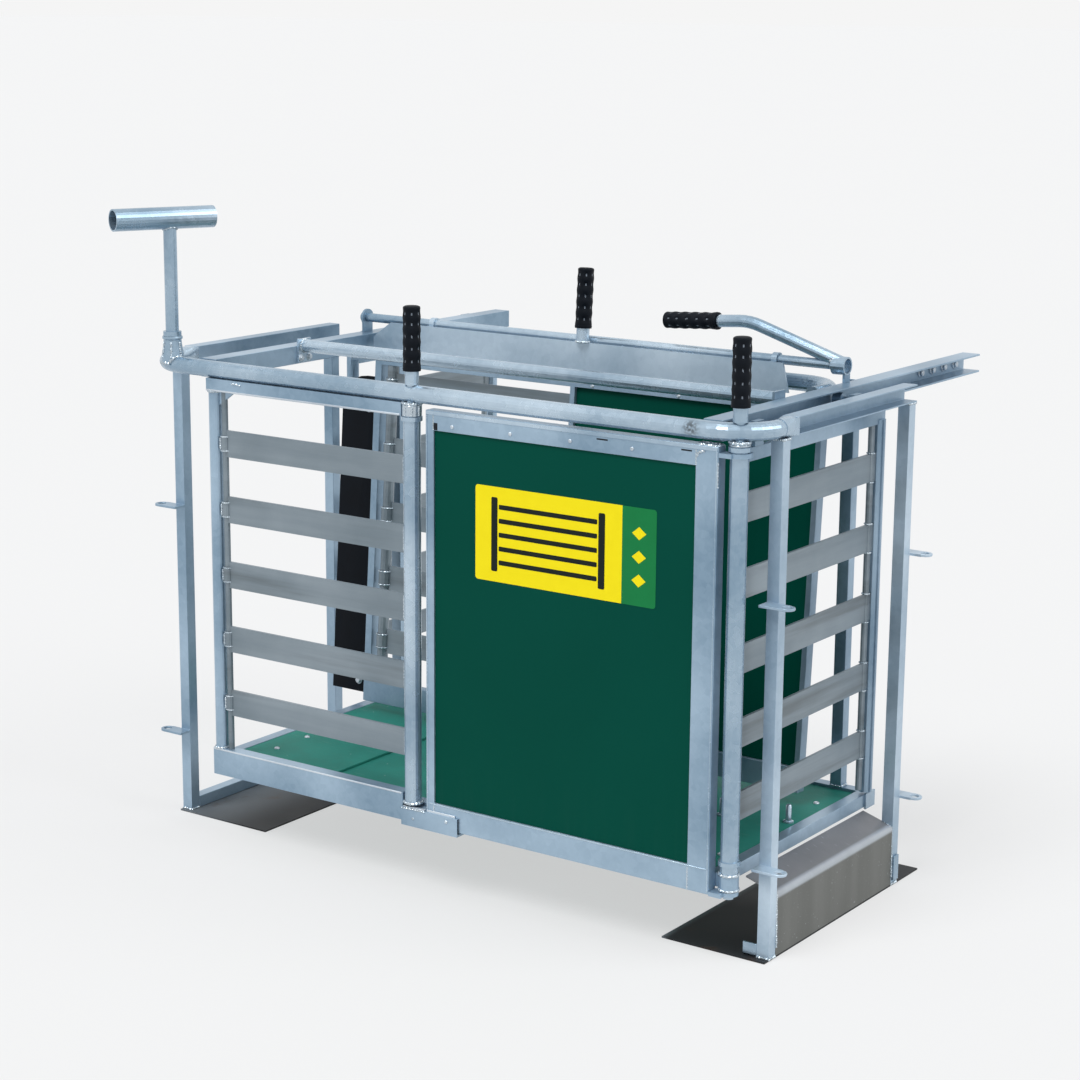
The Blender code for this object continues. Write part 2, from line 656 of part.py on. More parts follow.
# Bearings on the rails: a ring for the shaft at the entrance, a saddle under the lever's sleeve at the exit
for name, x, outer, bore in (
    ("bearing_in", BEARING_IN_X, BEARING_IN_R, SHAFT_R + CLEAR),
    ("bearing_out", BEARING_OUT_X, BEARING_OUT_R, LEVER_SLEEVE_R + CLEAR),
):
    bm = bmesh.new()
    thick = (x - BEARING_THICK / 2, x + BEARING_THICK / 2)
    box(bm, thick, (SHAFT_Y - outer * 0.8, SHAFT_Y + outer * 0.8), (RAIL_TOP + CLEAR, SHAFT_Z - 0.002))
    bearing = solid(name, bm, STEEL)
    if outer > bore:
        bm = bmesh.new()
        cylinder(bm, (thick[0], SHAFT_Y, SHAFT_Z), (thick[1], SHAFT_Y, SHAFT_Z), outer)
        combine(bearing, bm, "UNION")
    bm = bmesh.new()
    cylinder(bm, (x - 0.05, SHAFT_Y, SHAFT_Z), (x + 0.05, SHAFT_Y, SHAFT_Z), bore)
    combine(bearing, bm, "DIFFERENCE")

# Shaft, lever and its grip
shaft_axis = pivot_at("shaft_axis", (0.0, SHAFT_Y, SHAFT_Z))
bm = bmesh.new()
cylinder(bm, (SHAFT_X[0], SHAFT_Y, SHAFT_Z), (SHAFT_X[1], SHAFT_Y, SHAFT_Z), SHAFT_R)
solid("shaft", bm, STEEL, shaft_axis)

sleeve_mid = (LEVER_SLEEVE_X[0] + LEVER_SLEEVE_X[1]) / 2
lever_line = [(sleeve_mid, SHAFT_Z + 0.006), LEVER_BEND, LEVER_GRIP_START]
lever_points = []
for i in range(5):
    t = i / 4
    arm = Vector(lever_line[0]).lerp(Vector(LEVER_BEND), 0.88 + 0.12 * t)
    head = Vector(LEVER_BEND).lerp(Vector(LEVER_GRIP_START), 0.35 * t)
    lever_points.append(arm.lerp(head, t))
lever_path = [lever_line[0]] + [tuple(p) for p in lever_points] + [lever_line[2]]
bm = swept("lever_arm", [(x, SHAFT_Y, z) for x, z in lever_path], LEVER_R)
lever_arm = solid("lever_arm", bm, STEEL, shaft_axis)
bm = bmesh.new()
cylinder(bm, (LEVER_SLEEVE_X[0], SHAFT_Y, SHAFT_Z), (LEVER_SLEEVE_X[1], SHAFT_Y, SHAFT_Z), LEVER_SLEEVE_R)
combine(lever_arm, bm, "UNION", shaft_axis)
grip_start = Vector((LEVER_GRIP_START[0], SHAFT_Y, LEVER_GRIP_START[1]))
grip_end = Vector((LEVER_GRIP_END[0], SHAFT_Y, LEVER_GRIP_END[1]))
grip_along = (grip_end - grip_start).normalized()
bm = bmesh.new()
core_end = grip_start + grip_along * (GRIP_LENGTH - GRIP_END - 0.001)
cylinder(bm, grip_start - grip_along * 0.005, core_end, ROD_R)
combine(lever_arm, bm, "UNION", shaft_axis)
for start, bore in ((0.5, SHAFT_R + CLEAR), (SHAFT_X[1] + 0.0005, LEVER_SLEEVE_BORE_R)):
    bm = bmesh.new()
    cylinder(bm, (start, SHAFT_Y, SHAFT_Z), (0.7, SHAFT_Y, SHAFT_Z), bore)
    combine(lever_arm, bm, "DIFFERENCE", shaft_axis)
cover = grip("lever_grip", shaft_axis)
cover.rotation_euler = grip_along.to_track_quat("Z", "Y").to_euler()
cover.location = grip_start + grip_along * 0.002

# Inner wall, drawn upright and then leaned in about the shaft
wall = pivot_at("wall_axis", (0.0, SHAFT_Y, SHAFT_Z))
wall.rotation_euler = (math.radians(-WALL_LEAN_DEG), 0.0, 0.0)
plane_y = SHAFT_Y - WALL_BACK
plate_y = (plane_y - WALL_PLATE_THICK / 2, plane_y + WALL_PLATE_THICK / 2)
frame_y = (plane_y - SIDE_DEPTH / 2, plane_y + SIDE_DEPTH / 2)

bm = bmesh.new()
slant = WALL_PLATE_X[1] - 0.016
plate_outline = [
    (WALL_PLATE_X[0], WALL_PLATE_Z[0]),
    (WALL_PLATE_X[1], WALL_PLATE_Z[0]),
    (slant, WALL_PLATE_Z[1]),
    (WALL_PLATE_X[0] + 0.045, WALL_PLATE_Z[1]),
    (WALL_PLATE_X[0], WALL_PLATE_Z[0] + 0.024),
]
prism(bm, plate_outline, plate_y[0], plate_y[1], "Y")
wall_plate = solid("wall_plate", bm, STEEL, wall)
bm = bmesh.new()
for x in WALL_STRAP_X:
    strap_z = (WALL_Z[1] + CLEAR, WALL_PLATE_Z[0] + 0.01)
    box(bm, (x - 0.015, x + 0.015), plate_y, strap_z)
for x in WALL_EYE_X:
    box(bm, (x - 0.006, x + 0.006), (plate_y[0], SHAFT_Y), (SHAFT_Z - 0.022, SHAFT_Z - 0.004))
combine(wall_plate, bm, "UNION", wall)
bm = bmesh.new()
for x in WALL_EYE_X:
    cylinder(bm, (x - 0.006, SHAFT_Y, SHAFT_Z), (x + 0.006, SHAFT_Y, SHAFT_Z), 0.0135)
combine(wall_plate, bm, "UNION", wall)
bm = bmesh.new()
for x in WALL_EYE_X:
    cylinder(bm, (x - 0.02, SHAFT_Y, SHAFT_Z), (x + 0.02, SHAFT_Y, SHAFT_Z), SHAFT_R + CLEAR)
combine(wall_plate, bm, "DIFFERENCE", wall)

bm = bmesh.new()
box(bm, WALL_X, frame_y, WALL_Z)
wall_frame = solid("wall_frame", bm, STEEL, wall)
bm = bmesh.new()
bay_z = (WALL_Z[0] + WALL_SILL, WALL_Z[1] - WALL_BAR)
slat_bay = (WALL_X[0] + WALL_LEFT_BAR, WALL_MID_X - WALL_BAR / 2)
panel_bay = (WALL_MID_X + WALL_BAR / 2, WALL_X[1] - WALL_BAR)
for bay in (slat_bay, panel_bay):
    box(bm, bay, (frame_y[0] - 0.05, frame_y[1] + 0.05), bay_z)
combine(wall_frame, bm, "DIFFERENCE", wall)

bm = bmesh.new()
panel_y = (plane_y - PANEL_THICK / 2, plane_y + PANEL_THICK / 2)
box(bm, (panel_bay[0] + CLEAR, panel_bay[1] - CLEAR), panel_y, (bay_z[0] + CLEAR, bay_z[1] - CLEAR))
solid("wall_panel", bm, GREEN, wall)

heights = slat_heights(WALL_SLAT_TOP_Z, WALL_SLAT_PITCH)
rod_z = (bay_z[0] + CLEAR, bay_z[1] - CLEAR)
wall_slats = slat_rod("wall_slats", WALL_ROD_X, plane_y, rod_z, WALL_ROD_R, heights, wall)
slat_y = (plane_y - SLAT_THICK / 2, plane_y + SLAT_THICK / 2)
slats(wall_slats, heights, (WALL_ROD_X, slat_bay[1] - CLEAR), slat_y, wall)

bm = bmesh.new()
corner = arc((FLAP_OUTER_X + FLAP_CORNER_R, FLAP_Z[1] - FLAP_CORNER_R), FLAP_CORNER_R, 180, 90, 6)
inner_edge = WALL_X[0] - CLEAR
flap = [(inner_edge, FLAP_Z[0]), (FLAP_OUTER_X, FLAP_Z[0])] + corner + [(inner_edge, FLAP_Z[1])]
prism(bm, flap, slat_y[0], slat_y[1], "Y")
solid("wall_flap", bm, RUBBER, wall)

handle_y = SHAFT_Y - SHAFT_R - SLEEVE_R - 0.0015
foot = WALL_PLATE_Z[1] + CLEAR
shoulder = foot + HANDLE_NECK
core = shoulder + GRIP_LENGTH - GRIP_END - 0.001
profile = [(0.0, core), (ROD_R, core), (ROD_R, shoulder), (SLEEVE_R, shoulder), (SLEEVE_R, foot), (0.0, foot)]
handle = turned("wall_handle", profile, STEEL, wall)
handle.location = (HANDLE_X, handle_y, 0.0)
cover = grip("wall_grip", wall)
cover.location = (HANDLE_X, handle_y, shoulder + CLEAR)

# Indicator holder: socket on the front tube and the T that turns in it
socket_low = TOP_TUBE_Z + 0.002
mast_bore = SLEEVE_R + CLEAR
profile = [(0.0, SOCKET_FLOOR), (mast_bore, SOCKET_FLOOR), (mast_bore, SOCKET_TOP), (SOCKET_R, SOCKET_TOP)]
profile += [(SOCKET_R, socket_low), (0.0, socket_low)]
socket = turned("socket", profile, STEEL)
socket.location = (HOLDER_X, HOLDER_Y, 0.0)
combine(socket, swept("socket_seat", front_path, TUBE_R + CLEAR), "DIFFERENCE")

holder_axis = pivot_at("holder_axis", (HOLDER_X, HOLDER_Y, 0.0))
mast_low = SOCKET_FLOOR + CLEAR
collar_low = SOCKET_TOP + CLEAR
profile = [(0.0, BAR_Z), (SLEEVE_R, BAR_Z), (SLEEVE_R, MAST_COLLAR_TOP), (MAST_COLLAR_R, MAST_COLLAR_TOP)]
profile += [(MAST_COLLAR_R, collar_low), (SLEEVE_R, collar_low), (SLEEVE_R, mast_low), (0.0, mast_low)]
holder = turned("indicator_holder", profile, STEEL, holder_axis)
holder.location = (HOLDER_X, HOLDER_Y, 0.0)
turn = math.radians(BAR_TURN_DEG)
along = Vector((math.cos(turn), math.sin(turn), 0.0))
centre = Vector((HOLDER_X, HOLDER_Y, BAR_Z))
bm = bmesh.new()
cylinder(bm, centre + along * BAR_REACH[0], centre + along * BAR_REACH[1], BAR_R, 24)
combine(holder, bm, "UNION", holder_axis)
bm = bmesh.new()
cylinder(bm, centre + along * (BAR_REACH[0] - 0.02), centre + along * (BAR_REACH[1] + 0.02), BAR_BORE_R, 24)
combine(holder, bm, "DIFFERENCE", holder_axis)
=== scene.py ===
"""Weighing and sorting crate for sheep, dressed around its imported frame."""

import math

import bmesh
import bpy
from mathutils import Matrix, Vector


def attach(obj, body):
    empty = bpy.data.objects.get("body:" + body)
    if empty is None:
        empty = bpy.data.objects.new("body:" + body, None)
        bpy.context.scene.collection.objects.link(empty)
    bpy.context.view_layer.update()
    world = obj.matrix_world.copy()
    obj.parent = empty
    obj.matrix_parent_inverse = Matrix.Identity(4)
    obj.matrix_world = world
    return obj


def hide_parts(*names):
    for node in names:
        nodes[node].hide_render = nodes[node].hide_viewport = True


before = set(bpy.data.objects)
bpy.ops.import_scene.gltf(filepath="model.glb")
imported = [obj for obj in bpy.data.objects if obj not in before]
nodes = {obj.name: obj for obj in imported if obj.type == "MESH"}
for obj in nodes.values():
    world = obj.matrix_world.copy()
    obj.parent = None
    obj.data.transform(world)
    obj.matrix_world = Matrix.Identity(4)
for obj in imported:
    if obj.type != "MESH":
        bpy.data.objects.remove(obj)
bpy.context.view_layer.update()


# Viewpoint: a camera at standing height off the exit corner, looking slightly down on the door side.
# It stands 4.8 m away, so the tubes converge only a little.

camera_place = Vector((2.78993, -3.93473, 1.71942))
yaw, pitch, roll = (math.radians(angle) for angle in (35.04, 12.51, 0.45))
ahead = Vector((-math.sin(yaw) * math.cos(pitch), math.cos(yaw) * math.cos(pitch), -math.sin(pitch)))
level = Vector((math.cos(yaw), math.sin(yaw), 0.0))
upright = level.cross(ahead)
camera_right = level * math.cos(roll) + upright * math.sin(roll)
camera_up = upright * math.cos(roll) - level * math.sin(roll)
lens = bpy.data.cameras.new("camera")
lens.lens = 81.36
lens.sensor_width = 36.0
lens.clip_end = 500.0
camera = bpy.data.objects.new("camera", lens)
camera_turn = Matrix((camera_right, camera_up, -ahead)).transposed().to_4x4()
camera.matrix_world = Matrix.Translation(camera_place) @ camera_turn
bpy.context.scene.collection.objects.link(camera)
bpy.context.scene.camera = camera
bpy.context.scene.view_settings.view_transform = "Standard"


# Studio: a pale floor without end under an even sky, one broad soft lamp high in front of the door and
# a weaker one from the exit side, so the zinc keeps a light side and a darker one.


class Wire:
    """A socket of a node tree. Sums and products of wires add Math nodes."""

    def __init__(self, tree, socket=None):
        self.tree = tree
        self.socket = socket

    def node(self, kind, settings, values, output=0):
        """Adds a node: its settings come first, then a number, colour or wire for each named socket."""
        made = self.tree.nodes.new("ShaderNode" + kind)
        for setting, value in settings.items():
            setattr(made, setting, value)
        for name, value in values.items():
            if isinstance(value, Wire):
                self.tree.links.new(value.socket, made.inputs[name])
            else:
                made.inputs[name].default_value = value
        return Wire(self.tree, made.outputs[output] if made.outputs else None)

    def maths(self, operation, first, second):
        return self.node("Math", {"operation": operation}, {0: first, 1: second})

    def __add__(self, other):
        return self.maths("ADD", self, other)

    __radd__ = __add__

    def __sub__(self, other):
        return self.maths("SUBTRACT", self, other)

    def __rsub__(self, other):
        return self.maths("SUBTRACT", other, self)

    def __mul__(self, other):
        return self.maths("MULTIPLY", self, other)

    __rmul__ = __mul__

    def within(self, low, high):
        """0 below low and 1 above high, with a smooth step between."""
        limits = {"From Min": low, "From Max": high}
        return self.node("MapRange", {"interpolation_type": "SMOOTHSTEP"}, {0: self, **limits})

    def mix(self, first, second):
        """The first colour where this wire is 0, the second where it is 1."""
        return self.node("Mix", {"data_type": "RGBA"}, {0: self, 6: first, 7: second}, output=2)


def seen_directly(graph):
    """1 for rays from the camera, a reflection or glass, and 0 for those that light the crate."""
    camera_ray, glossy_ray, glass_ray = (
        graph.node("LightPath", {}, {}, output=name)
        for name in ("Is Camera Ray", "Is Glossy Ray", "Is Transmission Ray")
    )
    return graph.maths("MAXIMUM", camera_ray, graph.maths("MAXIMUM", glossy_ray, glass_ray))


PALE = (0.913, 0.913, 0.913, 1.0)
SKY_TINT = (0.93, 0.96, 1.0, 1.0)
SKY_STRENGTH = 0.52
world = bpy.data.worlds.new("sky")
world.use_nodes = True
bpy.context.scene.world = world
world.node_tree.nodes.clear()
sky = Wire(world.node_tree)
lit = sky.node("Background", {}, {"Color": SKY_TINT, "Strength": SKY_STRENGTH})
seen = sky.node("Background", {}, {"Color": PALE, "Strength": 1.0})
backdrop = sky.node("MixShader", {}, {0: seen_directly(sky), 1: lit, 2: seen})
sky.node("OutputWorld", {}, {"Surface": backdrop})

for name, strength, width, towards in (
    ("front_lamp", 1.85, 28.0, (0.10, 0.76, -1.15)),
    ("side_lamp", 1.25, 45.0, (-0.88, -0.20, -0.72)),
):
    lamp = bpy.data.lights.new(name, "SUN")
    lamp.energy = strength
    lamp.angle = math.radians(width)
    holder = bpy.data.objects.new(name, lamp)
    holder.rotation_mode = "QUATERNION"
    holder.rotation_quaternion = Vector(towards).to_track_quat("-Z", "Y")
    bpy.context.scene.collection.objects.link(holder)

floor_mesh = bpy.data.meshes.new("studio_floor")
FLOOR_REACH = 150.0
FLOOR_Z = -0.0005
FLOOR_GLOW = 0.62
signs = ((-1, -1), (1, -1), (1, 1), (-1, 1))
floor_mesh.from_pydata([(x * FLOOR_REACH, y * FLOOR_REACH, FLOOR_Z) for x, y in signs], [], [(0, 1, 2, 3)])
studio_floor = bpy.data.objects.new("studio_floor", floor_mesh)
bpy.context.scene.collection.objects.link(studio_floor)


def finish_of(name, metallic=0.0, roughness=0.5, specular=0.5):
    """A new material, the wire to build it with, its shader's sockets and the place on the piece."""
    made = bpy.data.materials.new(name)
    made.use_nodes = True
    shader = made.node_tree.nodes["Principled BSDF"]
    shader.inputs["Metallic"].default_value = metallic
    shader.inputs["Roughness"].default_value = roughness
    shader.inputs["Specular IOR Level"].default_value = specular
    tool = Wire(made.node_tree)
    return made, tool, shader.inputs, tool.node("TexCoord", {}, {}, output="Object")


def feed(wire, socket):
    """Lets a wire decide what a shader's socket gets."""
    wire.tree.links.new(wire.socket, socket)


paper, ink, surface, place = finish_of("pale_floor", roughness=0.9, specular=0.1)
drift = ink.node("TexNoise", {}, {"Vector": place, "Scale": 0.6, "Detail": 2.0})
feed(drift.mix((0.735, 0.738, 0.738, 1.0), (0.745, 0.748, 0.748, 1.0)), surface["Base Color"])
lit_floor = Wire(ink.tree, ink.tree.nodes["Principled BSDF"].outputs[0])
plain_floor = ink.node("Emission", {}, {"Color": PALE, "Strength": 1.0})
both = ink.node("MixShader", {}, {0: seen_directly(ink) * FLOOR_GLOW, 1: lit_floor, 2: plain_floor})
ink.tree.links.new(both.socket, ink.tree.nodes["Material Output"].inputs["Surface"])
floor_mesh.materials.append(paper)


# Galvanised steel of all tubes, profiles and brackets: hot-dipped after welding, so it shows faint
# crystal flakes, a cloudy bluish grey and slightly duller patches. Broad light and dark patches on top are
# painted reflections, and the tubes' raised light tone is a painted highlight.


def zinc(name, dark, light, metallic=0.6, flake=75.0, roughness=0.32, scuff=None, dent=0.12):
    """Zinc with its flakes and clouds, broad painted reflection patches, and a dark scuff at one place if
    asked.
    """
    made, tool, sockets, where = finish_of(name, metallic=metallic)
    crystals = tool.node("TexVoronoi", {}, {"Vector": where, "Scale": flake}, output="Color")
    flakes = tool.node("SeparateColor", {}, {0: crystals})
    cloud = tool.node("TexNoise", {}, {"Vector": where, "Scale": 7.0, "Detail": 5.0, "Roughness": 0.6})
    fine = tool.node("TexNoise", {}, {"Vector": where, "Scale": 160.0, "Detail": 3.0})
    # Painted reflection: broad light and dark patches in the colour stand for reflected surroundings.
    reflection_patches = tool.node("TexNoise", {}, {"Vector": where, "Scale": 3.2, "Detail": 1.0})
    tone = reflection_patches.within(0.34, 0.68) * 0.50 + cloud.within(0.25, 0.75) * 0.22 + flakes * 0.11 + fine * 0.13
    skin = tone.mix(dark, light)
    if scuff:
        away = tool.node("VectorMath", {"operation": "DISTANCE"}, {0: where, 1: scuff}, output="Value")
        rubbed = (1 - away.within(0.004, 0.024)) * fine.within(0.35, 0.6)
        skin = (rubbed * 0.8).mix(skin, (0.05, 0.055, 0.06, 1.0))
    feed(skin, sockets["Base Color"])
    feed(roughness - 0.06 + cloud * 0.10 + flakes * 0.05, sockets["Roughness"])
    height = fine * 0.5 + flakes * 0.5
    dents = tool.node("Bump", {}, {"Strength": dent, "Distance": 0.0006, "Height": height})
    feed(dents, sockets["Normal"])
    return made


STEEL_DARK = (0.150, 0.245, 0.340, 1.0)
STEEL_LIGHT = (0.440, 0.575, 0.700, 1.0)
steel = zinc("galvanised_steel", STEEL_DARK, STEEL_LIGHT)
# The tubes' light tone is raised as a painted highlight on their tops.
TUBE_DARK = (0.180, 0.285, 0.385, 1.0)
TUBE_LIGHT = (0.590, 0.705, 0.805, 1.0)
tube_steel = zinc("galvanised_tube", TUBE_DARK, TUBE_LIGHT, 0.68, 90.0, 0.24, dent=0.035)
# Painted light: a lighter, less metallic copy of the zinc for the exit posts and the wall plate stands for
# the brighter light on them.
LIT_COPY_DARK = (0.250, 0.355, 0.455, 1.0)
LIT_COPY_LIGHT = (0.600, 0.715, 0.815, 1.0)
lit_copy_steel = zinc("galvanised_painted_lit", LIT_COPY_DARK, LIT_COPY_LIGHT, 0.45)
SCUFF = (0.595, -0.352, 0.991)
scuffed = zinc("scuffed_tube", TUBE_DARK, TUBE_LIGHT, 0.68, 90.0, 0.24, SCUFF, 0.035)


def round_edges(shape, radius, sharper_than=30, harden=False):
    """Rounds the edges that turn by more than an angle in degrees."""
    bevel = shape.modifiers.new("Rounded", "BEVEL")
    bevel.width = radius
    bevel.segments = 3
    bevel.limit_method = "ANGLE"
    bevel.angle_limit = math.radians(sharper_than)
    bevel.harden_normals = harden


def dress(names, material, edge=0.0):
    """Gives pieces of the frame their finish, and rounds their edges by that radius."""
    for name in names.split():
        shape = nodes[name]
        shape.data.materials.clear()
        shape.data.materials.append(material)
        if edge:
            shape.modifiers.new("Joined", "WELD").merge_threshold = 0.00002
            round_edges(shape, edge, 40, True)


PROFILE_EDGE = 0.0012
dress("beam_in beam_out rail_in rail_out post_in_front post_in_rear", steel, PROFILE_EDGE)
dress("post_rear_in post_rear_out floor_frame entrance_sill side_frame", steel, PROFILE_EDGE)
dress("door_frame door_bracket wall_frame", steel, PROFILE_EDGE)
dress("door_lug_low door_lug_top gate_in_frame gate_out_frame bearing_in bearing_out", steel)
dress("gate_in_hanger_front gate_in_hanger_rear gate_out_hanger_front gate_out_hanger_rear", steel)
dress("cross_tube rear_tube post_mid post_corner rod_mid rod_corner", tube_steel)
dress("shaft lever_arm wall_handle indicator_holder", tube_steel)
dress("front_tube", scuffed)
dress("post_out_front post_out_rear", lit_copy_steel, PROFILE_EDGE)
dress("wall_plate", lit_copy_steel)


# Slats of extruded aluminium plank: flat, dull and smooth, with faint smudges along their length where
# animals rub past, each hooked over an upright rod with a short barrel.


def streaked(name, stretch):
    """Aluminium with its marks drawn out along one axis."""
    made, tool, sockets, where = finish_of(name, metallic=0.5)
    drawn = tool.node("Mapping", {}, {"Vector": where, "Scale": stretch})
    long_marks = tool.node("TexNoise", {}, {"Vector": drawn, "Scale": 3.0, "Detail": 3.0, "Roughness": 0.5})
    smudges = tool.node("TexNoise", {}, {"Vector": where, "Scale": 5.0, "Detail": 4.0})
    hair = tool.node("TexNoise", {}, {"Vector": drawn, "Scale": 60.0, "Detail": 2.0})
    tone = long_marks.within(0.25, 0.75) * 0.35 + smudges.within(0.25, 0.75) * 0.5 + hair * 0.15
    clean = tone.mix((0.145, 0.188, 0.218, 1.0), (0.300, 0.352, 0.392, 1.0))
    grimy = tool.node("TexNoise", {}, {"Vector": drawn, "Scale": 2.2, "Detail": 5.0, "Roughness": 0.6})
    feed((grimy.within(0.50, 0.72) * 0.6).mix(clean, (0.105, 0.120, 0.125, 1.0)), sockets["Base Color"])
    feed(0.38 + smudges * 0.16, sockets["Roughness"])
    dents = tool.node("Bump", {}, {"Strength": 0.06, "Distance": 0.0004, "Height": hair})
    feed(dents, sockets["Normal"])
    return made


slats_along_x = streaked("aluminium_along_the_side", (0.5, 4.0, 9.0))
slats_along_y = streaked("aluminium_across_the_ends", (4.0, 0.5, 9.0))
dress("side_slats wall_slats", slats_along_x)
dress("gate_in_slats gate_out_slats", slats_along_y)


# Door and inner wall panels: smooth dark green sheet with a soft gloss, lightly scuffed near the floor
# and set into the frames.

sheet, tool, sockets, where = finish_of("green_sheet", roughness=0.42, specular=0.04)
haze = tool.node("TexNoise", {}, {"Vector": where, "Scale": 3.5, "Detail": 5.0})
upwards = tool.node("Mapping", {}, {"Vector": where, "Scale": (18.0, 18.0, 1.2)})
wiped = tool.node("TexNoise", {}, {"Vector": upwards, "Scale": 4.0, "Detail": 5.0})
height = tool.node("SeparateXYZ", {}, {0: where}, output=2)
dusty = (1 - height.within(0.15, 0.34)) * wiped.within(0.45, 0.75) * 0.12
clean = haze.mix((0.0002, 0.056, 0.038, 1.0), (0.0006, 0.067, 0.046, 1.0))
feed(dusty.mix(clean, (0.022, 0.085, 0.066, 1.0)), sockets["Base Color"])
feed(0.36 + wiped * 0.16 + dusty * 0.5, sockets["Roughness"])
feed(tool.node("Bump", {}, {"Strength": 0.05, "Distance": 0.0008, "Height": haze}), sockets["Normal"])
dress("door_panel wall_panel", sheet)


# Floor boards: two sheets coated in a lighter green, laid flush into the floor frame. They are matt,
# scratched by hooves and marked with small pale chips.

boards, tool, sockets, where = finish_of("floor_coating", roughness=0.6, specular=0.3)
wear = tool.node("TexNoise", {}, {"Vector": where, "Scale": 11.0, "Detail": 7.0, "Roughness": 0.7})
specks = tool.node("TexVoronoi", {}, {"Vector": where, "Scale": 24.0}, output="Distance")
chips = 1 - specks.within(0.03, 0.06)
scratched = tool.node("Mapping", {}, {"Vector": where, "Scale": (3.0, 30.0, 1.0)})
scratches = tool.node("TexNoise", {}, {"Vector": scratched, "Scale": 6.0, "Detail": 4.0}).within(0.62, 0.7)
green = wear.mix((0.008, 0.150, 0.118, 1.0), (0.034, 0.31, 0.245, 1.0))
marked = (scratches * 0.22).mix(green, (0.18, 0.36, 0.30, 1.0))
feed((chips * 0.55).mix(marked, (0.42, 0.52, 0.48, 1.0)), sockets["Base Color"])
feed(0.5 + wear * 0.25, sockets["Roughness"])
feed(tool.node("Bump", {}, {"Strength": 0.25, "Distance": 0.001, "Height": wear}), sockets["Normal"])
dress("floor_board_in floor_board_out", boards)


# Ground plates: flat rolled plate under each portal, welded to the posts' feet. Their near-black colour is
# painted shade under the crate over some real grime, with a trace of rust. The lighter bluish part at the
# entrance end is painted light, and there is one more lighter bluish strip further in.

plate_with_painted_shade, tool, sockets, where = finish_of("dirt_and_painted_shade_plate", metallic=0.2, roughness=0.5, specular=0.15)
patches = tool.node("TexNoise", {}, {"Vector": where, "Scale": 6.0, "Detail": 6.0, "Roughness": 0.6})
rust = tool.node("TexNoise", {}, {"Vector": where, "Scale": 14.0, "Detail": 5.0}).within(0.60, 0.74)
# Painted shade: the near-black tones stand for the shade under the crate, over real grime.
shade_and_grime = patches.mix((0.008, 0.010, 0.012, 1.0), (0.040, 0.044, 0.048, 1.0))
along_x = tool.node("SeparateXYZ", {}, {0: where}, output=0)
# Painted light: the part towards the entrance end is lighter where it reaches out from under the crate.
lit_entrance_side = 1 - along_x.within(-0.730, -0.520)
inner_strip = along_x.within(0.4, 0.41) * (1 - along_x.within(0.506, 0.522))
lighter_areas = lit_entrance_side * 0.9 + inner_strip
shade_and_grime = (lighter_areas * (0.3 + patches)).mix(shade_and_grime, (0.200, 0.225, 0.245, 1.0))
feed((rust * 0.35).mix(shade_and_grime, (0.075, 0.038, 0.018, 1.0)), sockets["Base Color"])
feed(0.36 + patches * 0.25, sockets["Roughness"])
feed(tool.node("Bump", {}, {"Strength": 0.12, "Distance": 0.001, "Height": patches}), sockets["Normal"])
dress("ground_plate_in ground_plate_out", plate_with_painted_shade)


# Rubber flap on the inner wall: black belting cut with one round corner, bolted along its inner edge,
# reaching past the wall's end towards the entrance.

rubber, tool, sockets, where = finish_of("black_rubber", roughness=0.55, specular=0.10)
rubbed = tool.node("TexNoise", {}, {"Vector": where, "Scale": 30.0, "Detail": 4.0})
grain = tool.node("TexNoise", {}, {"Vector": where, "Scale": 700.0, "Detail": 2.0})
feed(rubbed.mix((0.0022, 0.0034, 0.0060, 1.0), (0.006, 0.009, 0.014, 1.0)), sockets["Base Color"])
feed(0.45 + rubbed * 0.2, sockets["Roughness"])
feed(tool.node("Bump", {}, {"Strength": 0.2, "Distance": 0.0003, "Height": grain}), sockets["Normal"])
dress("wall_flap", rubber, 0.001)

SHAFT_LINE = Vector((0.0, 0.203, 1.0355))
LEAN = Matrix.Rotation(math.radians(-4.0), 3, "X")
WALL_UP = LEAN @ Vector((0, 0, 1))
WALL_FRONT = LEAN @ Vector((0, -1, 0))


def leaned(x, y, z):
    """A place on the inner wall, given as if the wall hung upright."""
    return SHAFT_LINE + LEAN @ (Vector((x, y, z)) - SHAFT_LINE)


def skin_rings(bm, rings, closed=False):
    """Side faces over a row of rings of points, with a cap at each end unless the row is closed."""
    pairs = list(zip(rings, rings[1:]))
    if closed:
        pairs.append((rings[-1], rings[0]))
    else:
        bm.faces.new(rings[0][::-1])
        bm.faces.new(rings[-1])
    faces = []
    for low, high in pairs:
        for i in range(len(low)):
            j = (i + 1) % len(low)
            faces.append(bm.faces.new((low[i], low[j], high[j], high[i])))
    return faces


def add_turned(bm, profile, foot, along, sides):
    """A closed solid of revolution: (radius, height) pairs along the line that starts at foot."""
    foot = Vector(foot)
    turn = Vector(along).to_track_quat("Z", "Y").to_matrix()
    angles = [2 * math.pi * i / sides for i in range(sides)]
    rings = []
    for radius, height in profile:
        spots = [Vector((radius * math.cos(a), radius * math.sin(a), height)) for a in angles]
        rings.append([bm.verts.new(foot + turn @ spot) for spot in spots])
    skin_rings(bm, rings)


def add_bolt(bm, foot, along, across=0.013):
    """A hexagon head on a round washer."""
    foot = Vector(foot)
    along = Vector(along).normalized()
    radius = across / 2
    add_turned(bm, [(radius * 1.5, 0.0), (radius * 1.5, 0.0012), (radius * 1.38, 0.0018)], foot, along, 24)
    head = [(radius * 1.15, 0.0), (radius * 1.15, radius * 0.62), (radius * 0.92, radius * 0.80)]
    add_turned(bm, head, foot + along * 0.0016, along, 6)


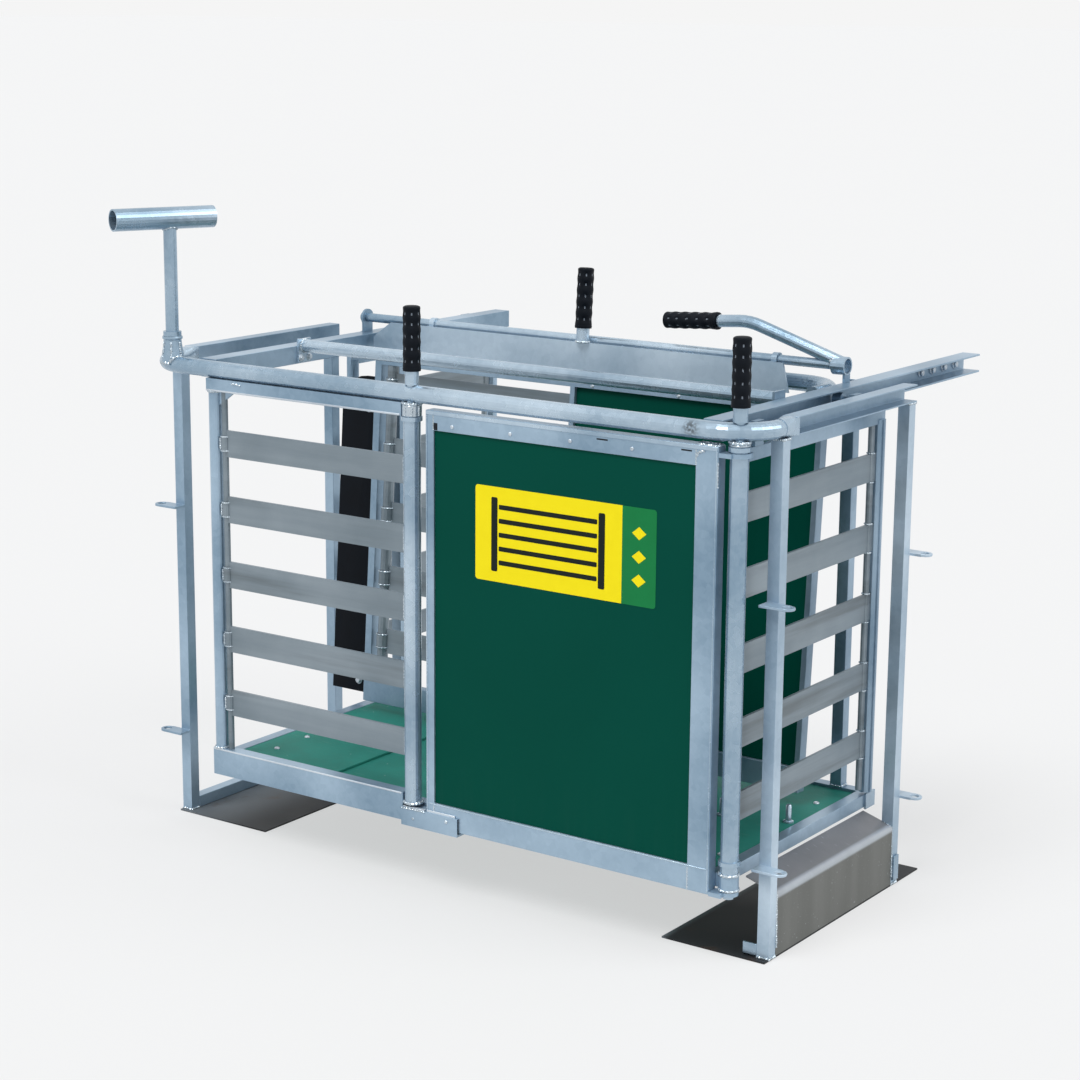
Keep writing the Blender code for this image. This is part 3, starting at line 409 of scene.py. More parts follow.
def add_screw(bm, foot, along, radius=0.0035):
    """A low round head with a flat ring and a dimple."""
    crown = [(1.0, 0.0), (1.0, 0.16), (0.86, 0.42), (0.55, 0.60), (0.40, 0.62), (0.30, 0.40)]
    add_turned(bm, [(radius * r, radius * h) for r, h in crown], foot, along, 20)


def finished(name, bm, body, slot, *looks, edge=0.0):
    """Makes the drawn solid a piece of the scene that rides on its body."""
    bmesh.ops.recalc_face_normals(bm, faces=bm.faces)
    mesh = bpy.data.meshes.new(name)
    bm.to_mesh(mesh)
    bm.free()
    mesh.shade_smooth()
    mesh.set_sharp_from_angle(angle=math.radians(38))
    for look in looks:
        mesh.materials.append(look)
    piece = bpy.data.objects.new(name, mesh)
    bpy.context.scene.collection.objects.link(piece)
    if edge:
        round_edges(piece, edge)
    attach(piece, body)
    return piece


# Lighter zinc for bolts, screws and nuts. On the side lips it is a painted edge highlight.
BRIGHT_DARK = (0.42, 0.48, 0.54, 1.0)
BRIGHT_LIGHT = (0.74, 0.80, 0.85, 1.0)
bright_zinc_and_edge_highlight = zinc("bright_zinc_and_edge_highlight", BRIGHT_DARK, BRIGHT_LIGHT, 0.6, 220.0, 0.38, dent=0.03)
FLAP_BOLT_X = -0.545
FLAP_FACE_Y = 0.180
bm = bmesh.new()
for z in (0.232, 0.558, 0.840):
    add_bolt(bm, leaned(FLAP_BOLT_X, FLAP_FACE_Y, z), WALL_FRONT, 0.012)
finished("flap_bolts", bm, "wall", "galvanised", bright_zinc_and_edge_highlight)


# Hand grips: black moulded rubber pushed over the rod ends, with six rows of oval finger dents
# whose bottoms are painted a glossy grey as painted glints, and a rounded closed end.

# Painted glint: a lighter, glossier grey rubber for the deep parts of the dents.
glint_grey_rubber, tool, sockets, where = finish_of("dent_glint_rubber", roughness=0.35, specular=0.5)
glint_speckle = tool.node("TexNoise", {}, {"Vector": where, "Scale": 400.0, "Detail": 3.0})
feed(glint_speckle.mix((0.05, 0.065, 0.085, 1.0), (0.22, 0.26, 0.31, 1.0)), sockets["Base Color"])
feed(0.3 + glint_speckle * 0.2, sockets["Roughness"])

GRIP_R = 0.0172
GRIP_LENGTH = 0.123
END_ROUNDING = 0.005
END_DROP = 0.0045
LIP_LENGTH = 0.006
LIP_HEIGHT = 0.0006
DENT_ROWS = (0.0190, 0.0425, 0.0660, 0.0895, 0.1085)
DENT_PITCH = 0.0235
DENT_DEPTH = 0.0021
DENT_HALF_LENGTH = 0.0052
DENT_HALF_WIDTH = 0.0040
RIDGE = 0.0005
GLINT_FROM = 0.66
AROUND = 72
ALONG = 82


def grip(name, node, body, foot, along, facing):
    """A grip from its open end at foot, with one row of dents turned towards facing."""
    foot = Vector(foot)
    axis = Vector(along).normalized()
    first = (Vector(facing) - axis * Vector(facing).dot(axis)).normalized()
    second = axis.cross(first)
    bm = bmesh.new()
    rings = []
    glinting = []
    for i in range(ALONG + 1):
        z = GRIP_LENGTH * i / ALONG
        rounding = max(0.0, z - (GRIP_LENGTH - END_ROUNDING)) / END_ROUNDING
        swell = GRIP_R - END_DROP * (1 - math.sqrt(max(0.0, 1 - rounding * rounding)))
        lip = LIP_HEIGHT if z < LIP_LENGTH else 0.0
        ring = []
        marks = []
        for k in range(AROUND):
            turn = 2 * math.pi * k / AROUND
            off = (turn + math.pi / 6) % (math.pi / 3) - math.pi / 6
            depth = 0.0
            for row in DENT_ROWS:
                lengthways = ((z - row) / DENT_HALF_LENGTH) ** 2
                depth += math.exp(-lengthways - (off * GRIP_R / DENT_HALF_WIDTH) ** 2)
            ridge = RIDGE * math.cos(2 * math.pi * (z - DENT_ROWS[0]) / DENT_PITCH)
            radius = swell - DENT_DEPTH * depth - ridge - RIDGE + lip
            spot = foot + axis * z + first * (radius * math.cos(turn)) + second * (radius * math.sin(turn))
            ring.append(bm.verts.new(spot))
            marks.append(depth > GLINT_FROM)
        rings.append(ring)
        glinting.append(marks)
    for count, face in enumerate(skin_rings(bm, rings)):
        i, k = divmod(count, AROUND)
        # Painted glint: faces deep in a dent take the grey rubber.
        face.material_index = int(glinting[i][k] and glinting[i + 1][(k + 1) % AROUND])
    piece = finished(name, bm, body, "rubber", rubber, glint_grey_rubber)
    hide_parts(node)


MID_POST = (-0.033, -0.335)
CORNER_POST = (0.6765, -0.3185)
HANDLE = (0.008, 0.17855)
ROD_GRIP_Z = 1.03145
DENTS_TOWARDS = (0.62, -0.79, 0.0)
grip("mid_grip", "grip_mid", "rod_mid", (*MID_POST, ROD_GRIP_Z), (0, 0, 1), DENTS_TOWARDS)
grip("corner_grip", "grip_corner", "rod_corner", (*CORNER_POST, ROD_GRIP_Z), (0, 0, 1), DENTS_TOWARDS)
grip("wall_handle_grip", "wall_grip", "wall", leaned(*HANDLE, 1.0606), WALL_UP, DENTS_TOWARDS)
LEVER_GRIP_START = Vector((0.318, 0.203, 1.0995))
LEVER_GRIP_END = Vector((0.182, 0.203, 1.091))
grip_run = (LEVER_GRIP_END - LEVER_GRIP_START).normalized()
grip("lever_hand_grip", "lever_grip", "lever", LEVER_GRIP_START + grip_run * 0.002, grip_run, (0, -1, 0.35))


# Weld runs of the stand: ropes of small overlapping drops where posts meet plates, beams and tubes,
# dipped with the rest, so they shine a little brighter than the flat steel.


def add_weld(bm, line, radius, closed=False, sides=8):
    """A run of weld drops along a line of points."""
    points = [Vector(p) for p in line]
    if closed:
        points.append(points[0])
    step = radius * 0.5
    samples = []
    run = 0.0
    for start, end in zip(points, points[1:]):
        length = (end - start).length
        count = max(1, round(length / step))
        for i in range(count):
            samples.append((start.lerp(end, i / count), (end - start).normalized(), run + length * i / count))
        run += length
    if not closed:
        samples.append((points[-1], samples[-1][1], run))
    side = samples[0][1].orthogonal().normalized()
    rings = []
    for place, ahead, way in samples:
        side = (side - ahead * side.dot(ahead)).normalized()
        other = ahead.cross(side)
        ripple = 0.20 * math.sin(2 * math.pi * way / (radius * 1.9))
        unevenness = 0.14 * math.sin(way * 317.0 + place.z * 90)
        drop = 1 + ripple + unevenness
        ring = []
        for k in range(sides):
            turn = 2 * math.pi * k / sides
            reach = radius * drop * (1 + 0.08 * math.sin(way * 900 + 3 * turn))
            spot = place + side * (reach * math.cos(turn)) + other * (reach * math.sin(turn))
            ring.append(bm.verts.new(spot))
        rings.append(ring)
    skin_rings(bm, rings, closed)


def ring_line(centre, radius, axis=(0, 0, 1), count=28):
    """Points of a circle about an axis."""
    centre = Vector(centre)
    axis = Vector(axis).normalized()
    first = axis.orthogonal().normalized()
    second = axis.cross(first)
    turns = [2 * math.pi * i / count for i in range(count)]
    return [centre + first * (radius * math.cos(t)) + second * (radius * math.sin(t)) for t in turns]


def square_line(x, y, z, half):
    """Points round a square post at one height."""
    return [(x + a * half, y + b * half, z) for a, b in ((-1, -1), (1, -1), (1, 1), (-1, 1))]


WELD_DARK = (0.30, 0.37, 0.43, 1.0)
WELD_LIGHT = (0.66, 0.73, 0.78, 1.0)
weld = zinc("weld_metal", WELD_DARK, WELD_LIGHT, 0.75, 260.0, 0.24)
PORTAL_X = 0.715
PORTAL_Y = 0.2425
POST_HALF = 0.0125
FOOT_WELD_Z = 0.0042

bm = bmesh.new()
for side in (-1, 1):
    for end, top in ((-1, 0.9695), (1, 0.9705)):
        add_weld(bm, square_line(side * PORTAL_X, end * PORTAL_Y, FOOT_WELD_Z, POST_HALF), 0.0026, True)
        add_weld(bm, square_line(side * PORTAL_X, end * PORTAL_Y, top, POST_HALF), 0.0023, True)
finished("portal_welds", bm, "stand", "galvanised", weld)

REAR_POSTS_X = (-0.5372, 0.5872)
REAR_POST_Y = 0.260
TUBE_R = 0.01685
TOP_TUBE_Z = 0.988
bm = bmesh.new()
for x, y in (MID_POST, CORNER_POST):
    add_weld(bm, ring_line((x, y, 0.1785), TUBE_R + 0.0008), 0.0032, True)
    add_weld(bm, ring_line((x, y, 0.9698), TUBE_R + 0.0004), 0.0030, True)
for x in REAR_POSTS_X:
    add_weld(bm, square_line(x, REAR_POST_Y, 0.1776, POST_HALF), 0.0022, True)
add_weld(bm, square_line(REAR_POSTS_X[0], REAR_POST_Y, 0.9695, POST_HALF), 0.0022, True)
add_weld(bm, ring_line((-0.5488, 0.240, TOP_TUBE_Z), TUBE_R, (1, 0, 0)), 0.0024, True)
for x in (-0.5437, 0.5937):
    add_weld(bm, ring_line((x, -0.046, 1.003), 0.0137, (1, 0, 0)), 0.0020, True)
finished("post_welds", bm, "stand", "galvanised", weld)


# Ends of the front tube: pressed flat over their last 45 mm so that they slip over the beams' ends, and
# ground smooth afterwards.

END_START_Y = -0.2500
END_RUN = 0.0450
END_AXIS_Z = 0.9885
END_SIDES = 32

for side, name in ((-1, "tube_end_in"), (1, "tube_end_out")):
    bm = bmesh.new()
    rings = []
    for way in (0.0, 0.12, 0.3, 0.5, 0.7, 0.88, 1.0):
        y = END_START_Y + END_RUN * way
        ease = way * way * (3 - 2 * way)
        ring = []
        for k in range(END_SIDES):
            t = 2 * math.pi * k / END_SIDES
            across, up = math.cos(t), math.sin(t)
            box_reach = 1 / max(abs(across), abs(up))
            reach = (0.0172 + 0.0004 * way) * (1 - ease) + 0.0159 * min(box_reach, 1.34) * ease
            height = 1.0 + 0.10 * ease
            spot = (side * PORTAL_X + across * reach, y, END_AXIS_Z + up * reach * height)
            ring.append(bm.verts.new(spot))
        rings.append(ring)
    skin_rings(bm, rings)
    finished(name, bm, "stand", "galvanised", tube_steel)


# Sleeves on the heads of the two round posts: a short wider collar between its lower ring and the front
# tube, with five upright weld ribs round it that take the pull of the drop rod.

SLEEVE_R = 0.0192
bm = bmesh.new()
for (x, y), low in ((MID_POST, 0.9445), (CORNER_POST, 0.9620)):
    collar = [(0.0176, low), (SLEEVE_R, low + 0.002), (SLEEVE_R, 0.9660), (0.0176, 0.9680)]
    add_turned(bm, collar, (x, y, 0.0), (0, 0, 1), 32)
    for degrees in (-95, -52, -10, 80, 170):
        turn = math.radians(degrees)
        rib_x = x + SLEEVE_R * math.cos(turn)
        rib_y = y + SLEEVE_R * math.sin(turn)
        add_weld(bm, [(rib_x, rib_y, low + 0.003), (rib_x, rib_y, 0.9665)], 0.0021)
finished("post_head_sleeves", bm, "stand", "galvanised", weld)


# Front slatted side: its head and floor rail have rolled lips in a lighter zinc, a painted highlight along
# those edges, a small gusset stiffens the upper corner, and the barrels of the slats are tacked to the rod
# above and below. The rail is welded round the tube.


def add_bar(bm, x, y, z):
    """A rectangular bar between two limits on each axis."""
    size = (x[1] - x[0], y[1] - y[0], z[1] - z[0], 1.0)
    centre = ((x[0] + x[1]) / 2, (y[0] + y[1]) / 2, (z[0] + z[1]) / 2)
    bmesh.ops.create_cube(bm, size=1.0, matrix=Matrix.Translation(centre) @ Matrix.Diagonal(size))


def add_plate(bm, outline, low, high, place):
    """A flat plate: its outline as (a, b) pairs, its two faces at low and high, placed by a function."""
    near = [bm.verts.new(place(a, b, low)) for a, b in outline]
    far = [bm.verts.new(place(a, b, high)) for a, b in outline]
    bm.faces.new(near)
    bm.faces.new(far)
    for i in range(len(outline)):
        j = (i + 1) % len(outline)
        bm.faces.new((near[i], near[j], far[j], far[i]))


def standing(x, z, y):
    """Places a plate upright, its outline seen from the front."""
    return (x, y, z)


# Painted highlight: the lips take the lighter zinc so that the edges show a bright line.
SIDE_LIP_X = (-0.5480, -0.0525)
bm = bmesh.new()
add_bar(bm, SIDE_LIP_X, (-0.3492, -0.3460), (0.9452, 0.9492))
add_bar(bm, SIDE_LIP_X, (-0.3486, -0.3460), (0.1930, 0.1968))
finished("side_lips", bm, "stand", "galvanised", bright_zinc_and_edge_highlight, edge=0.0012)

bm = bmesh.new()
gusset = [(-0.5218, 0.9448), (-0.4830, 0.9448), (-0.5218, 0.9160)]
add_plate(bm, gusset, -0.3385, -0.3315, standing)
finished("side_gusset", bm, "stand", "galvanised", steel, edge=0.001)

SIDE_ROD = (-0.510, -0.335)
SIDE_TUBE = (-0.535, -0.335)
SIDE_SLATS = [0.8395 - 0.1355 * i for i in range(5)]
bm = bmesh.new()
for z in SIDE_SLATS:
    for edge in (-0.0145, 0.0145):
        add_weld(bm, ring_line((*SIDE_ROD, z + edge), 0.0090), 0.0016, True, 6)
    add_weld(bm, [(-0.5170, -0.3425, z - 0.012), (-0.5170, -0.3425, z + 0.012)], 0.0018)
    add_weld(bm, [(-0.0515, -0.3385, z - 0.024), (-0.0515, -0.3385, z + 0.024)], 0.0016)
add_weld(bm, ring_line((*SIDE_TUBE, 0.1985), 0.0140), 0.0024, True)
add_weld(bm, ring_line((*SIDE_TUBE, 0.9440), 0.0140), 0.0022, True)
add_weld(bm, [(-0.4790, -0.3478, 0.9640), (-0.4700, -0.3478, 0.9655), (-0.4560, -0.3478, 0.9630)], 0.0021)
finished("side_welds", bm, "stand", "galvanised", weld)


# Door frame: flat bar with raised lips along its top, sides and sill, joined at the corners by ground weld
# runs, with the panel held by round-head screws. Two short slots in the head and one at the side are drawn
# as near-black bars, painted shade in place of openings.

DOOR_FACE_Y = -0.3475
bm = bmesh.new()
add_bar(bm, (0.0105, 0.6495), (-0.3490, -0.3460), (0.9545, 0.9622))
add_bar(bm, (0.0100, 0.0130), (-0.3488, -0.3460), (0.1450, 0.9540))
add_bar(bm, (0.6465, 0.6495), (-0.3488, -0.3460), (0.1450, 0.9540))
add_bar(bm, (0.0140, 0.6460), (-0.3486, -0.3460), (0.1866, 0.1894))
finished("door_lips", bm, "door", "galvanised", tube_steel, edge=0.0009)

bm = bmesh.new()
joint_y = DOOR_FACE_Y + 0.0006
for x in (0.0272, 0.6058):
    add_weld(bm, [(x, joint_y, 0.9262), (x, joint_y, 0.9535)], 0.0016)
    add_weld(bm, [(x, joint_y, 0.1428), (x, joint_y, 0.1850)], 0.0016)
stile_corners = ((0.6085, -0.3450), (0.6480, -0.3450), (0.6480, -0.3250), (0.6085, -0.3250))
stile_top = [(x, y, 0.9632) for x, y in stile_corners]
add_weld(bm, stile_top, 0.0026, True)
add_weld(bm, [(0.6075, -0.3462, 0.9420), (0.6120, -0.3475, 0.9500), (0.6240, -0.3478, 0.9530)], 0.0026)
add_weld(bm, [(0.6500, -0.3462, 0.9350), (0.6495, -0.3466, 0.9100), (0.6500, -0.3462, 0.8900)], 0.0018)
finished("door_welds", bm, "door", "galvanised", weld)

bm = bmesh.new()
for x, z in ((0.0719, 0.9363), (0.2055, 0.9375), (0.3392, 0.9391), (0.4728, 0.9400)):
    add_screw(bm, (x, DOOR_FACE_Y, z), (0, -1, 0), 0.0040)
finished("door_screws", bm, "door", "galvanised", bright_zinc_and_edge_highlight)

# Painted shade: near-black bars laid on the door stand for the shadow inside its slots and slit.
shade, tool, sockets, where = finish_of("painted_gap_shade", roughness=0.8, specular=0.1)
shade_mottle = tool.node("TexNoise", {}, {"Vector": where, "Scale": 90.0, "Detail": 3.0})
feed(shade_mottle.mix((0.008, 0.010, 0.012, 1.0), (0.030, 0.034, 0.040, 1.0)), sockets["Base Color"])
feed(0.7 + shade_mottle * 0.2, sockets["Roughness"])

bm = bmesh.new()
SLOT_Y = (-0.34785, -0.3465)
for x, z, length in ((0.4085, 0.9495, 0.024), (0.5860, 0.9500, 0.022)):
    add_bar(bm, (x - length / 2, x + length / 2), SLOT_Y, (z - 0.0014, z + 0.0014))
add_bar(bm, (0.0262, 0.0372), SLOT_Y, (0.9262, 0.9400))
finished("door_slots", bm, "door", "galvanised", shade, edge=0.0003)


# Sticker on the door panel: printed vinyl in yellow with a green end strip, stuck flat on the sheet. It
# shows a plain hurdle of five dark bars and two uprights, and three diamonds.


def vinyl(name, low, high):
    """Printed vinyl, a little uneven between two tones of its colour."""
    made, tool, sockets, where = finish_of(name, roughness=0.4, specular=0.15)
    print_grain = tool.node("TexNoise", {}, {"Vector": where, "Scale": 40.0, "Detail": 4.0})
    feed(print_grain.mix(low, high), sockets["Base Color"])
    feed(0.36 + print_grain * 0.12, sockets["Roughness"])
    return made


yellow_vinyl = vinyl("yellow_vinyl", (0.86, 0.70, 0.002, 1.0), (0.92, 0.77, 0.006, 1.0))
green_vinyl = vinyl("green_vinyl", (0.004, 0.17, 0.045, 1.0), (0.006, 0.20, 0.055, 1.0))
dark_vinyl = vinyl("dark_vinyl", (0.004, 0.008, 0.006, 1.0), (0.010, 0.016, 0.013, 1.0))
PANEL_FACE_Y = -0.3435
STICKER_X = (0.124, 0.525)
STICKER_Z = (0.653, 0.834)
STRIP_X = 0.452


def on_door(x, z, depth):
    """A place on the door panel's face, raised by a depth."""
    return (x, PANEL_FACE_Y - depth, z)


def rounded(x, z, radius, corners=(1, 1, 1, 1)):
    """Outline of a rectangle, with those of its four corners rounded that are marked."""
    outline = []
    spots = ((x[0], z[0], 180), (x[1], z[0], 270), (x[1], z[1], 0), (x[0], z[1], 90))
    for (corner_x, corner_z, start), wanted in zip(spots, corners):
        if not wanted:
            outline.append((corner_x, corner_z))
            continue
        centre_x = corner_x + (radius if corner_x == x[0] else -radius)
        centre_z = corner_z + (radius if corner_z == z[0] else -radius)
        for i in range(7):
            t = math.radians(start + 15 * i)
            outline.append((centre_x + radius * math.cos(t), centre_z + radius * math.sin(t)))
    return outline


bm = bmesh.new()
add_plate(bm, rounded((STICKER_X[0], STRIP_X), STICKER_Z, 0.006, (1, 0, 0, 1)), 0.0, 0.0005, on_door)
finished("sticker_yellow", bm, "door", "green", yellow_vinyl)
bm = bmesh.new()
add_plate(bm, rounded((STRIP_X, STICKER_X[1]), STICKER_Z, 0.006, (0, 1, 1, 0)), 0.0, 0.0005, on_door)
finished("sticker_green", bm, "door", "green", green_vinyl)
bm = bmesh.new()
for i in range(5):
    z = 0.6905 + 0.0265 * i
    add_plate(bm, rounded((0.178, 0.398), (z - 0.0045, z + 0.0045), 0.0020), 0.0005, 0.0008, on_door)
for x in (0.168, 0.408):
    add_plate(bm, rounded((x - 0.007, x + 0.007), (0.673, 0.814), 0.0030), 0.0005, 0.0009, on_door)
finished("sticker_hurdle", bm, "door", "green", dark_vinyl)
bm = bmesh.new()
for i in range(3):
    z = 0.700 + 0.0435 * i
    centre = (STRIP_X + STICKER_X[1]) / 2
    diamond = [(centre - 0.015, z), (centre, z - 0.012), (centre + 0.015, z), (centre, z + 0.012)]
    add_plate(bm, diamond, 0.0005, 0.0008, on_door)
finished("sticker_diamonds", bm, "door", "green", yellow_vinyl)


# Bracket at the door's free edge: a welded box of flat bar with a tongue lying in it, a bolt through its
# front and an open slit at the end, drawn as a near-black bar of painted shade.

bm = bmesh.new()
add_bar(bm, (0.0120, 0.0800), (-0.3505, -0.3478), (0.1660, 0.1745))
add_bar(bm, (-0.0460, 0.0060), (-0.3525, -0.3440), (0.1702, 0.1722))
finished("bracket_tongue", bm, "door", "galvanised", bright_zinc_and_edge_highlight, edge=0.0009)
bm = bmesh.new()
add_weld(bm, [(-0.0485, -0.3532, 0.1680), (-0.0100, -0.3532, 0.1690), (0.0080, -0.3530, 0.1685)], 0.0016)
add_screw(bm, (0.0612, -0.3528, 0.1597), (0, -1, 0), 0.0040)
add_screw(bm, (-0.0200, -0.3528, 0.1500), (0, -1, 0), 0.0030)
finished("bracket_bolts", bm, "door", "galvanised", weld)
bm = bmesh.new()
add_bar(bm, (0.0815, 0.0874), (-0.3510, -0.3480), (0.1385, 0.1690))
finished("bracket_slit", bm, "door", "galvanised", shade, edge=0.0003)


# Floor: a loose coated mat laps over the boards at the entrance. Low bolts hold both down, two short pegs
# stand beside the exit gate, and the frame's corners have weld runs and small angles.

BOARD_TOP = 0.170
MAT_TOP = 0.1755
bm = bmesh.new()
add_bar(bm, (-0.5342, -0.2800), (-0.2964, 0.2482), (0.1702, MAT_TOP))
finished("entrance_mat", bm, "stand", "floor_green", boards, edge=0.0012)

bm = bmesh.new()
for x, y, top in (
    (-0.4826, -0.1275, MAT_TOP), (-0.4813, -0.2266, MAT_TOP), (-0.4826, 0.1700, MAT_TOP),
    (0.3000, 0.2200, BOARD_TOP), (0.6000, 0.1470, BOARD_TOP), (0.6000, -0.2200, BOARD_TOP),
):
    add_screw(bm, (x, y, top), (0, 0, 1), 0.0060)
finished("floor_bolts", bm, "stand", "galvanised", bright_zinc_and_edge_highlight)

PEG = ((0.0105, 0.0), (0.0105, 0.003), (0.0060, 0.0045), (0.0056, 0.034), (0.0040, 0.036))
bm = bmesh.new()
for x, y in ((0.6110, 0.0150), (0.4864, -0.0250)):
    add_turned(bm, PEG, (x, y, BOARD_TOP), (0, 0, 1), 20)
finished("floor_pegs", bm, "stand", "galvanised", tube_steel)

bm = bmesh.new()
add_bar(bm, (0.6590, 0.6640), (0.2350, 0.2733), (0.1460, 0.1790))
add_bar(bm, (0.6720, 0.7023), (-0.2545, -0.2505), (0.0033, 0.0280))
add_bar(bm, (0.6720, 0.7023), (-0.2545, -0.2320), (0.0033, 0.0072))
add_bar(bm, (0.7276, 0.7322), (0.2330, 0.2530), (0.0110, 0.0620))
finished("corner_angles", bm, "stand", "galvanised", tube_steel, edge=0.001)

bm = bmesh.new()
for x, y in ((-0.5475, -0.3220), (0.6480, -0.3215)):
    add_weld(bm, [(x, y, 0.1510), (x, y, 0.1760)], 0.0020)
add_weld(bm, ring_line((*CORNER_POST, 0.1500), 0.0180), 0.0024, True)
add_weld(bm, [(0.6600, -0.2900, 0.1763), (0.6600, -0.2600, 0.1763)], 0.0026)
STEP_END_RUN = ((0.7035, 0.2290, 0.1300), (0.7260, 0.2292, 0.1240), (0.7282, 0.2292, 0.0200))
for end in (-1, 1):
    add_weld(bm, [(x, end * y, z) for x, y, z in STEP_END_RUN], 0.0022)
finished("floor_welds", bm, "stand", "galvanised", weld)


# Exit step: steel sheet bent over a former and welded between the portal posts. It is dull brownish grey
# on its face. Its sloping top is painted a lighter grey as painted light from above, and a bright band along
# the round edge is a painted highlight. It has rain marks running down and pale scratches from hooves.

plate, tool, sockets, where = finish_of("weathered_sheet", metallic=0.45, roughness=0.42)
patches = tool.node("TexNoise", {}, {"Vector": where, "Scale": 8.0, "Detail": 6.0, "Roughness": 0.65})
downwards = tool.node("Mapping", {}, {"Vector": where, "Scale": (6.0, 10.0, 0.8)})
rain = tool.node("TexNoise", {}, {"Vector": downwards, "Scale": 2.0, "Detail": 4.0})
across = tool.node("Mapping", {}, {"Vector": where, "Rotation": (0.6, 0.0, 0.3), "Scale": (6.0, 60.0, 60.0)})
scratches = tool.node("TexNoise", {}, {"Vector": across, "Scale": 3.0, "Detail": 3.0}).within(0.66, 0.74)
height = tool.node("SeparateXYZ", {}, {0: where}, output=2)
# Painted light: the sloping top is coloured lighter than the face.
top = height.within(0.1235, 0.1265)
face_tone = rain.mix((0.095, 0.100, 0.092, 1.0), (0.185, 0.190, 0.180, 1.0))
lit_top_tone = patches.mix((0.165, 0.170, 0.180, 1.0), (0.300, 0.305, 0.325, 1.0))
sheet_tone = top.mix(face_tone, lit_top_tone)
scratched = (scratches * 0.45).mix(sheet_tone, (0.45, 0.47, 0.50, 1.0))
along_x = tool.node("SeparateXYZ", {}, {0: where}, output=0)
# Painted highlight: a bright, less rough band along the round fold.
edge = height.within(0.112, 0.119) * along_x.within(0.714, 0.719) * (1 - height.within(0.1262, 0.1292))
feed((edge * (0.45 + patches * 0.5)).mix(scratched, (0.55, 0.60, 0.66, 1.0)), sockets["Base Color"])
feed(0.40 + patches * 0.2 - edge * 0.14, sockets["Roughness"])
feed(tool.node("Bump", {}, {"Strength": 0.1, "Distance": 0.001, "Height": patches}), sockets["Normal"])

FOLD_R = 0.009
SHEET = 0.003
FACE_X = 0.7275
FOLD_Z = 0.125
STEP_FOOT_Z = 0.0033
STEP_HALF = 0.2297
SLOPE = math.atan2(0.020, 0.0665)
turn_by = math.pi / 2 - SLOPE
pull_in = FOLD_R * math.tan(turn_by / 2)
centre_x = FACE_X - FOLD_R
centre_z = FOLD_Z - pull_in
bends = [turn_by * i / 10 for i in range(11)]
outer = [(centre_x + FOLD_R * math.cos(t), centre_z + FOLD_R * math.sin(t)) for t in bends]
inner_r = FOLD_R - SHEET
inner = [(centre_x + inner_r * math.cos(t), centre_z + inner_r * math.sin(t)) for t in bends]
top_end = [(0.661, 0.145), (0.661, 0.142)]
profile = [(FACE_X, STEP_FOOT_Z)] + outer + top_end + inner[::-1] + [(FACE_X - SHEET, STEP_FOOT_Z)]
bm = bmesh.new()
add_plate(bm, profile, -STEP_HALF, STEP_HALF, standing)
step = finished("folded_step", bm, "stand", "plate_steel", plate)
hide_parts("exit_step")


# Bolts in the gate rails: a row on the open side of the exit rail's rear end, one on the entrance rail,
# and a pair through each lug of the cross tube.

RAIL_BOLT_Z = 0.985
LUG_BOLT_Z = 0.9790
bm = bmesh.new()
for y in (0.520, 0.572, 0.624, 0.676):
    add_bolt(bm, (0.604, y, RAIL_BOLT_Z), (1, 0, 0), 0.013)
add_bolt(bm, (-0.554, 0.660, RAIL_BOLT_Z), (-1, 0, 0), 0.013)
for side, x in ((1, -0.5447), (-1, 0.5947)):
    for y in (-0.0590, -0.0330):
        add_bolt(bm, (x, y, LUG_BOLT_Z), (side, 0, 0), 0.010)
finished("rail_bolts", bm, "stand", "galvanised", bright_zinc_and_edge_highlight)


# Gates: the slats are tacked to the rod at their rear ends and to the leading tube, and each hanger is
# held to its roller by a nut.

GATES = (("gate_in", -0.634, 0.220, -1), ("gate_out", 0.6565, -0.2765, 1))
GATE_SLATS = [0.842 - 0.139 * i for i in range(5)]
GATE_LENGTH = 0.520
HANGERS = (0.050, 0.420)
for gate, x, lead, side in GATES:
    bm = bmesh.new()
    rod_y = lead + GATE_LENGTH - 0.0295
    for z in GATE_SLATS:
        for edge in (-0.0285, 0.0285):
            add_weld(bm, ring_line((x, rod_y, z + edge), 0.0070), 0.0016, True, 6)
        for face in (-0.0034, 0.0034):
            slat_end = (x + face, lead + 0.0140)
            add_weld(bm, [(*slat_end, z - 0.024), (*slat_end, z + 0.024)], 0.0016)
    for y in (lead, lead + GATE_LENGTH):
        add_weld(bm, ring_line((x, y, 0.9245), 0.0112), 0.0018, True)
    finished(gate + "_welds", bm, gate, "galvanised", weld)
    bm = bmesh.new()
    for offset in HANGERS:
        add_bolt(bm, (x + side * 0.0060, lead + offset, 0.9823), (side, 0, 0), 0.012)
    finished(gate + "_nuts", bm, gate, "galvanised", bright_zinc_and_edge_highlight)


# Inner wall: round-head screws along the top of its panel, tacked slat barrels, and weld runs where the
# straps and the eyes of the shaft meet the head plate.

WALL_FACE_Y = 0.1705
bm = bmesh.new()
for x in (0.0433, 0.2503, 0.4573):
    add_screw(bm, leaned(x, WALL_FACE_Y, 0.9450), WALL_FRONT, 0.0042)
finished("wall_screws", bm, "wall", "galvanised", bright_zinc_and_edge_highlight)

